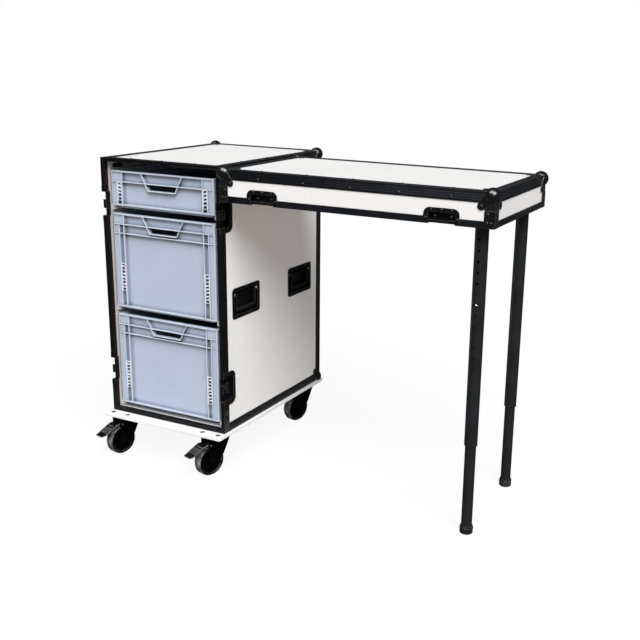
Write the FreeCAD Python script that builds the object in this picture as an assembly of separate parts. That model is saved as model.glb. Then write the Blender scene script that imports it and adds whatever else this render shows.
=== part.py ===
import FreeCAD, Part
import math
import os
from FreeCAD import Vector

# A tool case on a castor board, with three stacking boxes as drawers. The lid of its open
# front hangs on the right side as a table top and stands on two telescopic legs.
# Millimetres. X runs to the right along the open front, Y to the back, Z up from the floor.
# Pieces are built about the middle of the case's front edge. At the end they are moved so
# that the origin lies on the floor under the middle of the whole object.

# Boards of the case and the lid
PANEL = 9.0
LINING_FACING = 4.5

# Edge profiles
EDGE_SHEET = 1.5
EDGE_LEG = 30.0
GROOVE_WIDTH = 1.6
GROOVE_DEPTH = 0.5
GROOVE_PITCH = 6.5
GROOVES = 3
FRAME_WEB = 3.0
FRAME_INNER_LEG = 20.0
TONGUE_WIDTH = 4.0
TONGUE_HEIGHT = 1.5
TONGUE_PLAY = 0.2
CLOSING_LEG = 19.0
CLOSING_INNER_LEG = 15.0

# Ball corners and corner braces
BALL_RADIUS = 22.5
BALL_INSET = 12.0
PETAL_INSET = 39.0
PETAL_RADIUS = 11.0
PETAL_ROOT_RADIUS = 17.0
FITTING_SHEET = 1.2
BRACE_LEG = 29.0

# Stacking boxes, from the bottom up
BOX_WIDTH = 400.0
BOX_LENGTH = 600.0
BOX_HEIGHTS = (320.0, 320.0, 120.0)
BOX_PITCH_GAP = 18.0
BOX_SIDE_PLAY = 8.5
BOX_SETBACK = 12.0
BOX_BACK_PLAY = 7.5
BOX_FLOOR_GAP = 13.0
BOX_TOP_PLAY = 30.0
BOX_WALL = 3.0
BOX_RIB_DEPTH = 12.0
BOX_RIB = 2.5
BOX_CORNER = 7.0
BOX_RIM = 4.0
BOX_FOOT_HEIGHT = 9.0
BOX_FOOT_INSET = 17.0
BOX_FOOT_BAND = 5.0
BOX_RIB_DROP = 33.0
BOX_SECOND_RIB_DROP = 63.0
BOX_COLUMN_INSET = 3.5
BOX_LADDER_INSETS = (24.0, 43.0)
BOX_SIDE_RIBS = 4
GRIP_TOP = 160.0
GRIP_BOTTOM = 105.0
GRIP_DROP = 55.0

# Runners
RUNNER_WIDTH = 14.0
RUNNER_HEIGHT = 16.0
RUNNER_SETBACK = 2.0

# Castor board and castors
BOARD = 9.0
BOARD_SIDE = 10.0
BOARD_FRONT = 42.0
BOARD_BACK = 10.0
BOARD_CORNER = 8.0
CASTOR_HEIGHT = 137.0
CASTOR_INSET = 54.0
CASTOR_END_INSET = 64.0
PLATE_WIDTH = 85.0
PLATE_LENGTH = 105.0
PLATE = 3.0
PLATE_CORNER = 8.0
BOLT_PITCH_X = 60.0
BOLT_PITCH_Y = 80.0
BOLT_RADIUS = 4.0
BOLT_HEAD_RADIUS = 7.5
BOLT_HEAD = 3.5
NUT_ACROSS = 13.0
NUT = 6.5
BOLT_END = 0.8
BOLT_PLAY = 0.25
RACE_RADIUS = 24.0
RACE = 7.0
KING_PIN_RADIUS = 6.0
KING_PIN_HEAD_RADIUS = 10.0
KING_PIN_HEAD = 4.0
CROWN_RADIUS = 30.0
CROWN = 3.5
CROWN_RIM = 4.0
TRAIL = 36.0
FORK_SHEET = 3.0
FORK_INSIDE = 38.0
FORK_LEAD = 33.0
FORK_SKIRT_LEAD = 8.0
FORK_BOSS = 14.0
WHEEL_RADIUS = 50.0
TYRE_WIDTH = 32.0
HUB_RADIUS = 39.0
HUB_RIM_WIDTH = 28.0
HUB_BOSS_RADIUS = 12.0
HUB_BOSS_TAPER = 2.0
HUB_RIM = 3.0
HUB_RIM_TAPER = 2.0
HUB_WEB_DROP = 4.0
AXLE_RADIUS = 5.0
AXLE_HEAD_RADIUS = 8.5
AXLE_HEAD = 5.0
FRONT_CASTOR_TURNS = (76.0, 72.0)
BACK_CASTOR_TURN = 75.0

# Brake pedals
PEDAL_WIDTH = 42.0
PEDAL_EYE_WIDTH = 36.0
PEDAL_SHEET = 3.0
PEDAL_PIN_RADIUS = 3.0
PEDAL_EYE_RADIUS = 6.0
PEDAL_PIVOT_OUT = 5.0
PEDAL_PIVOT_RISE = 58.0
PEDAL_NECK = 14.0
PEDAL_KNEE = 22.0
PEDAL_KNEE_DROP = 4.0
PEDAL_REACH = 66.0
PEDAL_FALL = 19.5
PEDAL_LIP = 16.0
PEDAL_LIP_FALL = 3.0
PEDAL_LIP_TAPER = 4.5
PEDAL_RIDGE = 3.0
PEDAL_RIDGE_RISE = 1.5
PEDAL_RIDGE_PITCH = 8.0
SHOE_GAP = 4.0

# Latches
LATCH_INSET = 149.0
LATCH_LENGTH = 112.0
LATCH_WIDTH = 66.0
LATCH_CORNER = 22.0
LATCH_POCKET_LENGTH = 77.0
LATCH_POCKET_WIDTH = 54.0
LATCH_POCKET_DEPTH = 14.0
LATCH_AXIS = 29.0
LATCH_THROW = 10.0
LATCH_POST_RADIUS = 2.4
LATCH_PIN_RADIUS = 2.6
HOOK_SHEET = 3.0
HOOK_WIDTH = 28.0
HOOK_HEAD = 6.0
PIN_SLOT_PLAY = 1.3
WING_RADIUS = 20.0
WING_SHEET = 2.5
WING_TIP_RADIUS = 7.5
WING_RIDGE = 3.0
ROTOR_RADIUS = 10.0
ROTOR = 2.0

# Keepers on the table for the same latches
KEEPER_WIDTH = 104.0
KEEPER_HEIGHT = 44.0
KEEPER_CORNER = 18.0
KEEPER_POCKET_HEIGHT = 32.0
KEEPER_BAR = 5.0

# Handles
HANDLE_DISH_LENGTH = 160.0
HANDLE_DISH_HEIGHT = 102.0
HANDLE_DISH_CORNER = 12.0
HANDLE_FLANGE = 12.0
HANDLE_POCKET_DEPTH = 13.0
HANDLE_FROM_FRONT = 139.0
HANDLE_FROM_BACK = 150.0
HANDLE_HEIGHT = 419.0
GRIP_RADIUS = 6.5
GRIP_DROP_LENGTH = 50.0
GRIP_ARM = 5.0
GRIP_PIN_RADIUS = 3.0
GRIP_EYE_RADIUS = 6.0
GRIP_PIVOT_DROP = 13.0
GRIP_PIVOT_DEPTH = 5.0

# Table, which is the lid of the open front
TABLE_DEPTH = 97.0
TABLE_GAP = 20.0
TABLE_FORWARD = 28.0
TABLE_DROP = 2.0
RAIL_LENGTH = 300.0
RAIL_SHEET = 3.0
RAIL_LIP = 4.5
RAIL_PLAY = 0.5
RAIL_HEIGHT = 46.0
RAIL_OVERLAP = 15.0

# Legs
LEG_INSET = 50.0
LEG_OUTER_RADIUS = 19.0
LEG_OUTER_WALL = 1.5
LEG_INNER_RADIUS = 16.0
LEG_INNER_WALL = 2.0
LEG_OUTER_END = 278.0
LEG_HOLE_RADIUS = 4.1
LEG_HOLE_PITCH = 30.5
LEG_HOLES_EACH_WAY = 6
LEG_BUTTON_HEIGHT = 688.0
LEG_INNER_TOP = 32.0
LEG_GUIDE = 12.0
LEG_BUSH = 30.0
LEG_BUSH_LIP = 3.0
LEG_FOOT_RADIUS = 19.5
LEG_FOOT = 24.0
LEG_FOOT_BASE = 8.0
LEG_FOOT_BEAD = 0.7
LEG_FOOT_EDGE = 2.0
SOCKET_PLATE = 76.0
SOCKET_SHEET = 3.0
SOCKET_CORNER = 8.0
SOCKET_WALL = 3.0
SOCKET_LENGTH = 60.0
BUTTON_RADIUS = 3.8
BUTTON_TRAVEL = 4.5
BUTTON_PROUD = 1.3
SPRING_STRIP = 0.8
SPRING_WIDTH = 8.0

# Clearances, and how far a cutting solid reaches past what it cuts
BOARD_PLAY = 0.05
RUNNING_FIT = 0.05
SLIDING_FIT = 0.1
FREE_GAP = 0.3
OVERRUN = 1.0

# Heights and faces that follow
DISH_DEPTH = max(LATCH_POCKET_DEPTH, EDGE_SHEET + HANDLE_POCKET_DEPTH) + FITTING_SHEET
LINING_FACE = BOX_WIDTH / 2 + BOX_SIDE_PLAY
SPACER_FACE = LINING_FACE + LINING_FACING
HALF = SPACER_FACE + FREE_GAP + DISH_DEPTH
OUTER_FACE = HALF - EDGE_SHEET
INNER_FACE = OUTER_FACE - PANEL
CASE_WIDTH = 2 * HALF
CASE_DEPTH = BOX_SETBACK + BOX_LENGTH + BOX_BACK_PLAY + PANEL + EDGE_SHEET
BOX_STACK = sum(BOX_HEIGHTS) + (len(BOX_HEIGHTS) - 1) * BOX_PITCH_GAP
CASE_HEIGHT = BOX_FLOOR_GAP + BOX_STACK + BOX_TOP_PLAY + 2 * (PANEL + EDGE_SHEET)
BOARD_TOP = CASTOR_HEIGHT + BOARD
CASE_TOP = BOARD_TOP + CASE_HEIGHT
FLOOR_FACE = BOARD_TOP + EDGE_SHEET + PANEL
CEILING_FACE = CASE_TOP - EDGE_SHEET - PANEL
BACK_FACE = CASE_DEPTH - EDGE_SHEET
BACK_INNER_FACE = BACK_FACE - PANEL
FRAME_WIDTH = PANEL + 2 * EDGE_SHEET
TABLE_LENGTH = CASE_HEIGHT
TABLE_LEFT = HALF + TABLE_GAP
TABLE_RIGHT = TABLE_LEFT + TABLE_LENGTH
TABLE_FRONT = -TABLE_FORWARD
TABLE_BACK = TABLE_FRONT + CASE_WIDTH
TABLE_TOP = CASE_TOP - TABLE_DROP
TABLE_BOTTOM = TABLE_TOP - TABLE_DEPTH
TABLE_UNDERSIDE = TABLE_TOP - EDGE_SHEET - PANEL
LEG_X = TABLE_RIGHT - LEG_INSET
LEG_TOP = TABLE_UNDERSIDE - SOCKET_SHEET
LATCH_HEIGHTS = (BOARD_TOP + LATCH_INSET, CASE_TOP - LATCH_INSET)
KEEPER_PLACES = (TABLE_LEFT + LATCH_INSET, TABLE_RIGHT - LATCH_INSET)
LATCH_FLOOR = HALF - LATCH_POCKET_DEPTH
HANDLE_CENTRES = (HANDLE_FROM_FRONT, CASE_DEPTH - HANDLE_FROM_BACK)
HANDLE_Z = BOARD_TOP + HANDLE_HEIGHT
HANDLE_POCKET_LENGTH = HANDLE_DISH_LENGTH - 2 * HANDLE_FLANGE
HANDLE_POCKET_HEIGHT = HANDLE_DISH_HEIGHT - 2 * HANDLE_FLANGE
CASTOR_X = HALF + BOARD_SIDE - CASTOR_INSET
CASTOR_FRONT_Y = CASTOR_END_INSET - BOARD_FRONT
CASTOR_BACK_Y = CASE_DEPTH + BOARD_BACK - CASTOR_END_INSET
X_AXIS = Vector(1, 0, 0)
Y_AXIS = Vector(0, 1, 0)
Z_AXIS = Vector(0, 0, 1)


def box_bases():
    """Floor heights of the three stacking boxes, from the bottom up."""
    bases = []
    base = FLOOR_FACE + BOX_FLOOR_GAP
    for height in BOX_HEIGHTS:
        bases.append(base)
        base += height + BOX_PITCH_GAP
    return bases


def castor_places():
    """Swivel axis (x, y) and heading in degrees of each castor, front pair first."""
    return (
        (-CASTOR_X, CASTOR_FRONT_Y, FRONT_CASTOR_TURNS[0]),
        (CASTOR_X, CASTOR_FRONT_Y, FRONT_CASTOR_TURNS[1]),
        (-CASTOR_X, CASTOR_BACK_Y, BACK_CASTOR_TURN),
        (CASTOR_X, CASTOR_BACK_Y, BACK_CASTOR_TURN),
    )


def castor_heading(turn):
    """The direction in which a castor's wheel trails, and its axle's direction."""
    angle = math.radians(turn)
    trailing = Vector(-math.cos(angle), -math.sin(angle), 0)
    axle = Vector(math.sin(angle), -math.cos(angle), 0)
    return trailing, axle


def leg_places():
    """Name, y and outward direction of the holes of each leg."""
    return (
        ("front", TABLE_FRONT + LEG_INSET, -1),
        ("back", TABLE_BACK - LEG_INSET, 1),
    )


def latch_places():
    """Side (1 right, -1 left) and height of each latch."""
    return [(side, height) for side in (1, -1) for height in LATCH_HEIGHTS]


def handle_places():
    """Side (1 right, -1 left) and middle y of each handle."""
    return [(side, middle) for side in (1, -1) for middle in HANDLE_CENTRES]


def block(x0, x1, y0, y1, z0, z1):
    """A box between two corners."""
    return Part.makeBox(x1 - x0, y1 - y0, z1 - z0, Vector(x0, y0, z0))


def rod(radius, start, direction, length):
    """A round bar."""
    return Part.makeCylinder(radius, length, start, direction)


def polygon_face(points):
    """A flat face inside a closed chain of straight edges."""
    return Part.Face(Part.makePolygon(list(points) + [points[0]]))


def prism(points, travel):
    """A polygon swept along a vector."""
    return polygon_face(points).extrude(travel)


def revolved(profile, base, axis, radial):
    """A polygon of (radius, height) points turned round an axis through base."""
    points = [base + radial * r + axis * h for r, h in profile]
    return polygon_face(points).revolve(base, axis, 360)


def rounded_face(centre, across, up, width, height, corner):
    """A rectangle with round corners, flat in the plane of two directions."""
    half_w = width / 2
    half_h = height / 2

    def at(a, b):
        return centre + across * a + up * b

    diagonal = corner * (1 - math.sqrt(0.5))
    edges = []
    for sign_a, sign_b, first in ((1, -1, 0), (1, 1, 1), (-1, 1, 0), (-1, -1, 1)):
        along_a = at(sign_a * (half_w - corner), sign_b * half_h)
        along_b = at(sign_a * half_w, sign_b * (half_h - corner))
        middle = at(sign_a * (half_w - diagonal), sign_b * (half_h - diagonal))
        ends = (along_b, along_a) if first else (along_a, along_b)
        edges.append((ends[0], middle, ends[1]))
    wire = []
    for index, (start, middle, end) in enumerate(edges):
        wire.append(Part.Arc(start, middle, end).toShape())
        following = edges[(index + 1) % len(edges)][0]
        if (following - end).Length > 1e-6:
            wire.append(Part.makeLine(end, following))
    return Part.Face(Part.Wire(wire))


def rounded_plate(centre, across, up, width, height, corner, thickness):
    """A rounded rectangle with a thickness along across x up."""
    normal = across.cross(up)
    return rounded_face(centre, across, up, width, height, corner).extrude(normal * thickness)


def hull_face(first, first_radius, second, second_radius, normal):
    """The face round two circles and the two straight tangents that join them."""
    line = second - first
    distance = line.Length
    ahead = line.normalize()
    aside = normal.cross(ahead)
    lean = math.asin((first_radius - second_radius) / distance)

    def rim(centre, radius, angle):
        return centre + ahead * (radius * math.cos(angle)) + aside * (radius * math.sin(angle))

    touch = math.pi / 2 - lean
    far_arc = Part.Arc(
        rim(second, second_radius, -touch),
        rim(second, second_radius, 0),
        rim(second, second_radius, touch),
    ).toShape()
    near_arc = Part.Arc(
        rim(first, first_radius, touch),
        rim(first, first_radius, math.pi),
        rim(first, first_radius, -touch),
    ).toShape()
    left = Part.makeLine(rim(second, second_radius, touch), rim(first, first_radius, touch))
    right = Part.makeLine(rim(first, first_radius, -touch), rim(second, second_radius, -touch))
    return Part.Face(Part.Wire([far_arc, left, near_arc, right]))


def mirrored(shape, side):
    """The shape as built for the right side, or its mirror image on the left."""
    if side > 0:
        return shape
    return shape.mirror(Vector(0, 0, 0), X_AXIS)


def straight_bar(profile, length, origin, along, inward, depth):
    """A profile of (inward, depth) points drawn along a direction, with square ends."""
    points = [origin + inward * u + depth * v for u, v in profile]
    return prism(points, along * length)


def mitred_bar(profile, length, origin, along, inward, depth):
    """A profile drawn along an edge, with both ends cut at 45 degrees inwards."""
    bar = straight_bar(profile, length, origin, along, inward, depth)
    reach = max(u for u, v in profile)
    low = min(v for u, v in profile)
    high = max(v for u, v in profile)
    base = origin + depth * low
    outline = [
        base,
        base + along * length,
        base + along * (length - reach) + inward * reach,
        base + along * reach + inward * reach,
    ]
    return bar.common(prism(outline, depth * (high - low)))


def mitred_frame(profile, corner, first, first_length, second, second_length, depth):
    """Four mitred bars round a rectangle: two along first, two along second."""
    far_first = corner + first * first_length
    far_second = corner + second * second_length
    return [
        mitred_bar(profile, first_length, corner, first, second, depth),
        mitred_bar(profile, first_length, far_second, first, second * -1, depth),
        mitred_bar(profile, second_length, corner, second, first, depth),
        mitred_bar(profile, second_length, far_first, second, first * -1, depth),
    ]


def grooved_leg():
    """Outline steps of the grooves on one leg, as (distance, depth) from the edge."""
    start = (EDGE_LEG - (GROOVES - 1) * GROOVE_PITCH) / 2
    steps = []
    for index in range(GROOVES):
        middle = start + index * GROOVE_PITCH
        steps.append((middle - GROOVE_WIDTH / 2, 0))
        steps.append((middle - GROOVE_WIDTH / 2, GROOVE_DEPTH))
        steps.append((middle + GROOVE_WIDTH / 2, GROOVE_DEPTH))
        steps.append((middle + GROOVE_WIDTH / 2, 0))
    return steps


def angle_profile():
    """An angle with fine grooves along the outside of both legs."""
    steps = grooved_leg()
    sheet = EDGE_SHEET - BOARD_PLAY
    profile = [(0, 0)]
    profile += [(distance, depth) for distance, depth in steps]
    profile += [(EDGE_LEG, 0), (EDGE_LEG, sheet), (sheet, sheet), (sheet, EDGE_LEG)]
    profile += [(0, EDGE_LEG)]
    profile += [(depth, distance) for distance, depth in reversed(steps)]
    return profile


def channel_profile(outer_leg, inner_leg, tongue):
    """The profile that caps a panel's edge, with a groove, or a tongue that fits it."""
    middle = FRAME_WIDTH / 2
    half = TONGUE_WIDTH / 2
    step = TONGUE_HEIGHT
    if tongue:
        half -= TONGUE_PLAY
        step = TONGUE_PLAY - TONGUE_HEIGHT
    return [
        (0, 0),
        (middle - half, 0),
        (middle - half, step),
        (middle + half, step),
        (middle + half, 0),
        (FRAME_WIDTH, 0),
        (FRAME_WIDTH, inner_leg),
        (FRAME_WIDTH - EDGE_SHEET, inner_leg),
        (FRAME_WIDTH - EDGE_SHEET, FRAME_WEB),
        (EDGE_SHEET, FRAME_WEB),
        (EDGE_SHEET, outer_leg),
        (0, outer_leg),
    ]


def latch_pocket(side, height):
    """The space cut for a latch dish in the panel, spacer board and front frame."""
    pocket = block(
        SPACER_FACE - OVERRUN,
        HALF + FITTING_SHEET,
        -FRAME_WEB,
        LATCH_POCKET_WIDTH + FITTING_SHEET,
        height - LATCH_POCKET_LENGTH / 2 - FITTING_SHEET,
        height + LATCH_POCKET_LENGTH / 2 + FITTING_SHEET,
    )
    return mirrored(pocket, side)


def handle_pocket(side, middle):
    """The space cut for a handle dish in the panel and spacer board."""
    half_length = HANDLE_POCKET_LENGTH / 2 + FITTING_SHEET
    half_height = HANDLE_POCKET_HEIGHT / 2 + FITTING_SHEET
    pocket = block(
        SPACER_FACE - OVERRUN,
        OUTER_FACE + FITTING_SHEET,
        middle - half_length,
        middle + half_length,
        HANDLE_Z - half_height,
        HANDLE_Z + half_height,
    )
    return mirrored(pocket, side)


def side_pockets(side):
    """Every dish space of one side."""
    pockets = [latch_pocket(side, height) for height in LATCH_HEIGHTS]
    pockets += [handle_pocket(side, middle) for middle in HANDLE_CENTRES]
    return pockets


def case_side_panels():
    """Left and right panels, cut out for the dishes."""
    panels = []
    for side in (1, -1):
        panel = block(
            INNER_FACE, OUTER_FACE, FRAME_WEB, BACK_FACE,
            BOARD_TOP + EDGE_SHEET, CASE_TOP - EDGE_SHEET,
        )
        panels.append(mirrored(panel, side).cut(side_pockets(side)))
    return Part.makeCompound(panels)


def case_top_panel():
    """Top panel, between the side panels."""
    return block(
        -INNER_FACE, INNER_FACE, FRAME_WEB, BACK_FACE, CEILING_FACE, CEILING_FACE + PANEL
    )


def case_base_panel():
    """Base panel, between the side panels."""
    return block(-INNER_FACE, INNER_FACE, FRAME_WEB, BACK_FACE, FLOOR_FACE - PANEL, FLOOR_FACE)


def case_back_panel():
    """Back panel, inside the other four."""
    return block(
        -INNER_FACE, INNER_FACE, BACK_INNER_FACE, BACK_FACE, FLOOR_FACE, CEILING_FACE
    )


def lining_boards():
    """On each side wall a spacer board cut out for the dishes, and the board that faces it."""
    boards = []
    for side in (1, -1):
        spacer = block(
            SPACER_FACE, INNER_FACE, FRAME_INNER_LEG, BACK_INNER_FACE,
            FLOOR_FACE, CEILING_FACE,
        )
        facing = block(
            LINING_FACE, SPACER_FACE, FRAME_INNER_LEG, BACK_INNER_FACE,
            FLOOR_FACE, CEILING_FACE,
        )
        boards.append(mirrored(spacer, side).cut(side_pockets(side)))
        boards.append(mirrored(facing, side))
    return Part.makeCompound(boards)


def box_runners():
    """A pair of runners under each box, with the inner front corner rounded off."""
    runners = []
    front = FRAME_INNER_LEG + RUNNER_SETBACK
    for base in box_bases():
        top = base + BOX_FOOT_HEIGHT - FREE_GAP
        runner = block(
            LINING_FACE - RUNNER_WIDTH, LINING_FACE, front, BACK_INNER_FACE,
            top - RUNNER_HEIGHT, top,
        )
        lower_edges = [
            edge for edge in runner.Edges
            if abs(edge.BoundBox.XMax - (LINING_FACE - RUNNER_WIDTH)) < 0.01
            and edge.BoundBox.YLength > RUNNER_HEIGHT * 2
            and edge.BoundBox.ZMax < top - RUNNER_HEIGHT / 2
        ]
        runner = runner.makeChamfer(RUNNER_WIDTH / 4, lower_edges)
        runners.append(runner)
        runners.append(mirrored(runner, -1))
    return Part.makeCompound(runners)


def front_frame():
    """Channel round the open front, cut away where the latches sit."""
    profile = channel_profile(EDGE_LEG, FRAME_INNER_LEG, False)
    corner = Vector(-HALF, 0, BOARD_TOP)
    bars = mitred_frame(profile, corner, X_AXIS, CASE_WIDTH, Z_AXIS, CASE_HEIGHT, Y_AXIS)
    pockets = [latch_pocket(side, height) for side, height in latch_places()]
    lengths = bars[:2]
    for bar in bars[2:]:
        lengths += bar.cut(pockets).Solids
    return Part.makeCompound(lengths)


def edge_angles():
    """Grooved angles: four along the depth, and four mitred round the back."""
    profile = angle_profile()
    bars = []
    for sign_x in (1, -1):
        for height, sign_z in ((BOARD_TOP, 1), (CASE_TOP, -1)):
            origin = Vector(sign_x * HALF, EDGE_LEG, height)
            inward = X_AXIS * -sign_x
            length = CASE_DEPTH - 2 * EDGE_LEG
            bars.append(
                straight_bar(profile, length, origin, Y_AXIS, inward, Z_AXIS * sign_z)
            )
    corner = Vector(-HALF, CASE_DEPTH, BOARD_TOP)
    bars += mitred_frame(
        profile, corner, X_AXIS, CASE_WIDTH, Z_AXIS, CASE_HEIGHT, Y_AXIS * -1
    )
    return Part.makeCompound(bars)


def ball_corner(corner, sign_x, sign_y, sign_z, flat_foot=False):
    """A pressed ball with a petal on each face that meets at a corner.

    The signs give the directions in which the box lies from its corner. A flat foot has
    no petal underneath, and its ball ends level with the corner.
    """
    reach = PETAL_INSET + PETAL_RADIUS + BALL_RADIUS
    centre = Vector(BALL_INSET, BALL_INSET, BALL_INSET)
    piece = Part.makeSphere(BALL_RADIUS, centre).cut(Part.makeBox(reach, reach, reach))
    axes = (X_AXIS, Y_AXIS, Z_AXIS)
    for normal in axes[:2] if flat_foot else axes:
        diagonal = Vector(1, 1, 1) - normal
        petal = hull_face(
            diagonal * BALL_INSET, PETAL_ROOT_RADIUS,
            diagonal * PETAL_INSET, PETAL_RADIUS, normal,
        ).extrude(normal * -FITTING_SHEET)
        quarter = Part.makeBox(reach, reach, reach, normal * -FITTING_SHEET)
        piece = piece.fuse(petal.common(quarter))
    if flat_foot:
        piece = piece.cut(block(-reach, reach, -reach, reach, -reach, 0))
    piece = piece.removeSplitter()
    for sign, axis in zip((sign_x, sign_y, sign_z), axes):
        if sign < 0:
            piece = piece.mirror(Vector(0, 0, 0), axis)
    piece.translate(corner)
    return piece


def case_ball_corners():
    """Ball corners on the back corners of the case, flat where they stand on the board."""
    balls = []
    for sign_x in (1, -1):
        for height, sign_z in ((BOARD_TOP, 1), (CASE_TOP, -1)):
            corner = Vector(sign_x * HALF, CASE_DEPTH, height)
            balls.append(ball_corner(corner, -sign_x, -1, sign_z, flat_foot=sign_z > 0))
    return Part.makeCompound(balls)


def open_tray(x0, x1, y0, y1, z0, z1, wall):
    """A tray whose open side faces +X, built round the space of its pocket."""
    outside = block(x0 - wall, x1, y0 - wall, y1 + wall, z0 - wall, z1 + wall)
    return outside.cut(block(x0, x1 + wall, y0, y1, z0, z1))


def latch_dish(height):
    """Dish of one right-hand latch: flange, pocket open to the front, and post."""
    half = LATCH_POCKET_LENGTH / 2
    tray = open_tray(
        LATCH_FLOOR, HALF + FITTING_SHEET / 2, 0, LATCH_POCKET_WIDTH,
        height - half, height + half, FITTING_SHEET,
    )
    tray = tray.cut(block(
        LATCH_FLOOR - 2 * FITTING_SHEET, HALF + 2 * FITTING_SHEET, -2 * FITTING_SHEET, 0,
        height - LATCH_LENGTH, height + LATCH_LENGTH,
    ))
    flange = rounded_plate(
        Vector(HALF, 0, height), Y_AXIS, Z_AXIS,
        2 * LATCH_WIDTH, LATCH_LENGTH, LATCH_CORNER, FITTING_SHEET,
    )
    flange = flange.cut([
        block(
            HALF - FITTING_SHEET, HALF + 2 * FITTING_SHEET, -2 * LATCH_WIDTH, 0,
            height - LATCH_LENGTH, height + LATCH_LENGTH,
        ),
        block(
            HALF - FITTING_SHEET, HALF + 2 * FITTING_SHEET, -FITTING_SHEET,
            LATCH_POCKET_WIDTH, height - half, height + half,
        ),
    ])
    post_length = FREE_GAP + HOOK_SHEET + ROTOR
    post = rod(
        LATCH_POST_RADIUS, Vector(LATCH_FLOOR - FITTING_SHEET / 2, LATCH_AXIS, height),
        X_AXIS, post_length + FITTING_SHEET / 2,
    )
    return tray.fuse([flange, post]).removeSplitter()


def latch_dishes():
    """The four latch dishes."""
    return Part.makeCompound(
        [mirrored(latch_dish(height), side) for side, height in latch_places()]
    )


def latch_hook(side, height):
    """Hook plate that slides out of the dish towards the lid, driven by the crank pin."""
    bottom = LATCH_FLOOR + FREE_GAP
    top = bottom + HOOK_SHEET
    front = EDGE_SHEET
    half = HOOK_WIDTH / 2
    post_reach = LATCH_POST_RADIUS + FREE_GAP
    back = LATCH_AXIS + LATCH_THROW + post_reach + HOOK_SHEET
    plate = block(bottom, top, front, back, height - half, height + half)
    head = prism(
        [
            Vector(bottom, front, height - half),
            Vector(HALF - EDGE_SHEET * 2, front, height - half),
            Vector(HALF - EDGE_SHEET * 2, front + HOOK_HEAD / 3, height - half),
            Vector(top, front + HOOK_HEAD, height - half),
            Vector(bottom, front + HOOK_HEAD, height - half),
        ],
        Z_AXIS * HOOK_WIDTH,
    )
    post_slot = block(
        bottom - OVERRUN, top + OVERRUN, LATCH_AXIS - post_reach, LATCH_AXIS + LATCH_THROW + post_reach,
        height - post_reach, height + post_reach,
    )
    crank = LATCH_THROW / 2
    pin_play = LATCH_PIN_RADIUS + PIN_SLOT_PLAY
    pin_slot = block(
        bottom - OVERRUN, top + OVERRUN, LATCH_AXIS + crank - pin_play, LATCH_AXIS + crank + pin_play,
        height - crank - pin_play, height + crank + pin_play,
    )
    return mirrored(plate.fuse(head).cut([post_slot, pin_slot]).removeSplitter(), side)


def latch_wing(side, height):
    """Butterfly wing on its rotor, with the crank pin that works the hook."""
    rotor_bottom = LATCH_FLOOR + FREE_GAP * 2 + HOOK_SHEET
    centre = Vector(rotor_bottom, LATCH_AXIS, height)
    rotor = rod(ROTOR_RADIUS, centre, X_AXIS, ROTOR)
    bore = rod(LATCH_POST_RADIUS + RUNNING_FIT, centre - X_AXIS, X_AXIS, ROTOR + OVERRUN)
    pin = rod(
        LATCH_PIN_RADIUS, centre + Vector(-HOOK_SHEET, LATCH_THROW / 2, 0), X_AXIS, HOOK_SHEET
    )
    leaf_base = centre + X_AXIS * ROTOR
    leaves = []
    for sign in (1, -1):
        tip = leaf_base + Z_AXIS * (sign * (WING_RADIUS - WING_TIP_RADIUS))
        root = leaf_base + Z_AXIS * (sign * WING_TIP_RADIUS / 2)
        leaves.append(
            hull_face(root, WING_TIP_RADIUS * 0.7, tip, WING_TIP_RADIUS, X_AXIS)
            .extrude(X_AXIS * WING_SHEET)
        )
    ridge = block(
        leaf_base.x, leaf_base.x + WING_SHEET + WING_RIDGE,
        LATCH_AXIS - WING_RIDGE / 2, LATCH_AXIS + WING_RIDGE / 2,
        height - WING_RADIUS * 0.8, height + WING_RADIUS * 0.8,
    )
    cap = rod(ROTOR_RADIUS * 0.8, leaf_base, X_AXIS, WING_SHEET)
    wing = rotor.cut(bore).fuse([pin, cap, ridge] + leaves).removeSplitter()
    return mirrored(wing, side)


def handle_dish(middle):
    """Dish of one right-hand handle, with the pin that its grip turns on."""
    half_length = HANDLE_POCKET_LENGTH / 2
    half_height = HANDLE_POCKET_HEIGHT / 2
    tray = open_tray(
        OUTER_FACE - HANDLE_POCKET_DEPTH, OUTER_FACE + FITTING_SHEET / 2,
        middle - half_length, middle + half_length,
        HANDLE_Z - half_height, HANDLE_Z + half_height, FITTING_SHEET,
    )
    flange = rounded_plate(
        Vector(OUTER_FACE, middle, HANDLE_Z), Y_AXIS, Z_AXIS,
        HANDLE_DISH_LENGTH, HANDLE_DISH_HEIGHT, HANDLE_DISH_CORNER, FITTING_SHEET,
    )
    flange = flange.cut(block(
        OUTER_FACE - OVERRUN, OUTER_FACE + 2 * FITTING_SHEET,
        middle - half_length, middle + half_length,
        HANDLE_Z - half_height, HANDLE_Z + half_height,
    ))
    pivot = grip_pivot(middle)
    pin = rod(
        GRIP_PIN_RADIUS, pivot - Y_AXIS * (half_length + FITTING_SHEET / 2), Y_AXIS,
        2 * half_length + FITTING_SHEET,
    )
    return tray.fuse([flange, pin]).removeSplitter()


def grip_pivot(middle):
    """Middle of the axis that a right-hand grip turns on."""
    return Vector(
        OUTER_FACE - GRIP_PIVOT_DEPTH,
        middle,
        HANDLE_Z + HANDLE_POCKET_HEIGHT / 2 - GRIP_PIVOT_DROP,
    )


def handle_dishes():
    """The four handle dishes."""
    return Part.makeCompound(
        [mirrored(handle_dish(middle), side) for side, middle in handle_places()]
    )


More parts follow.
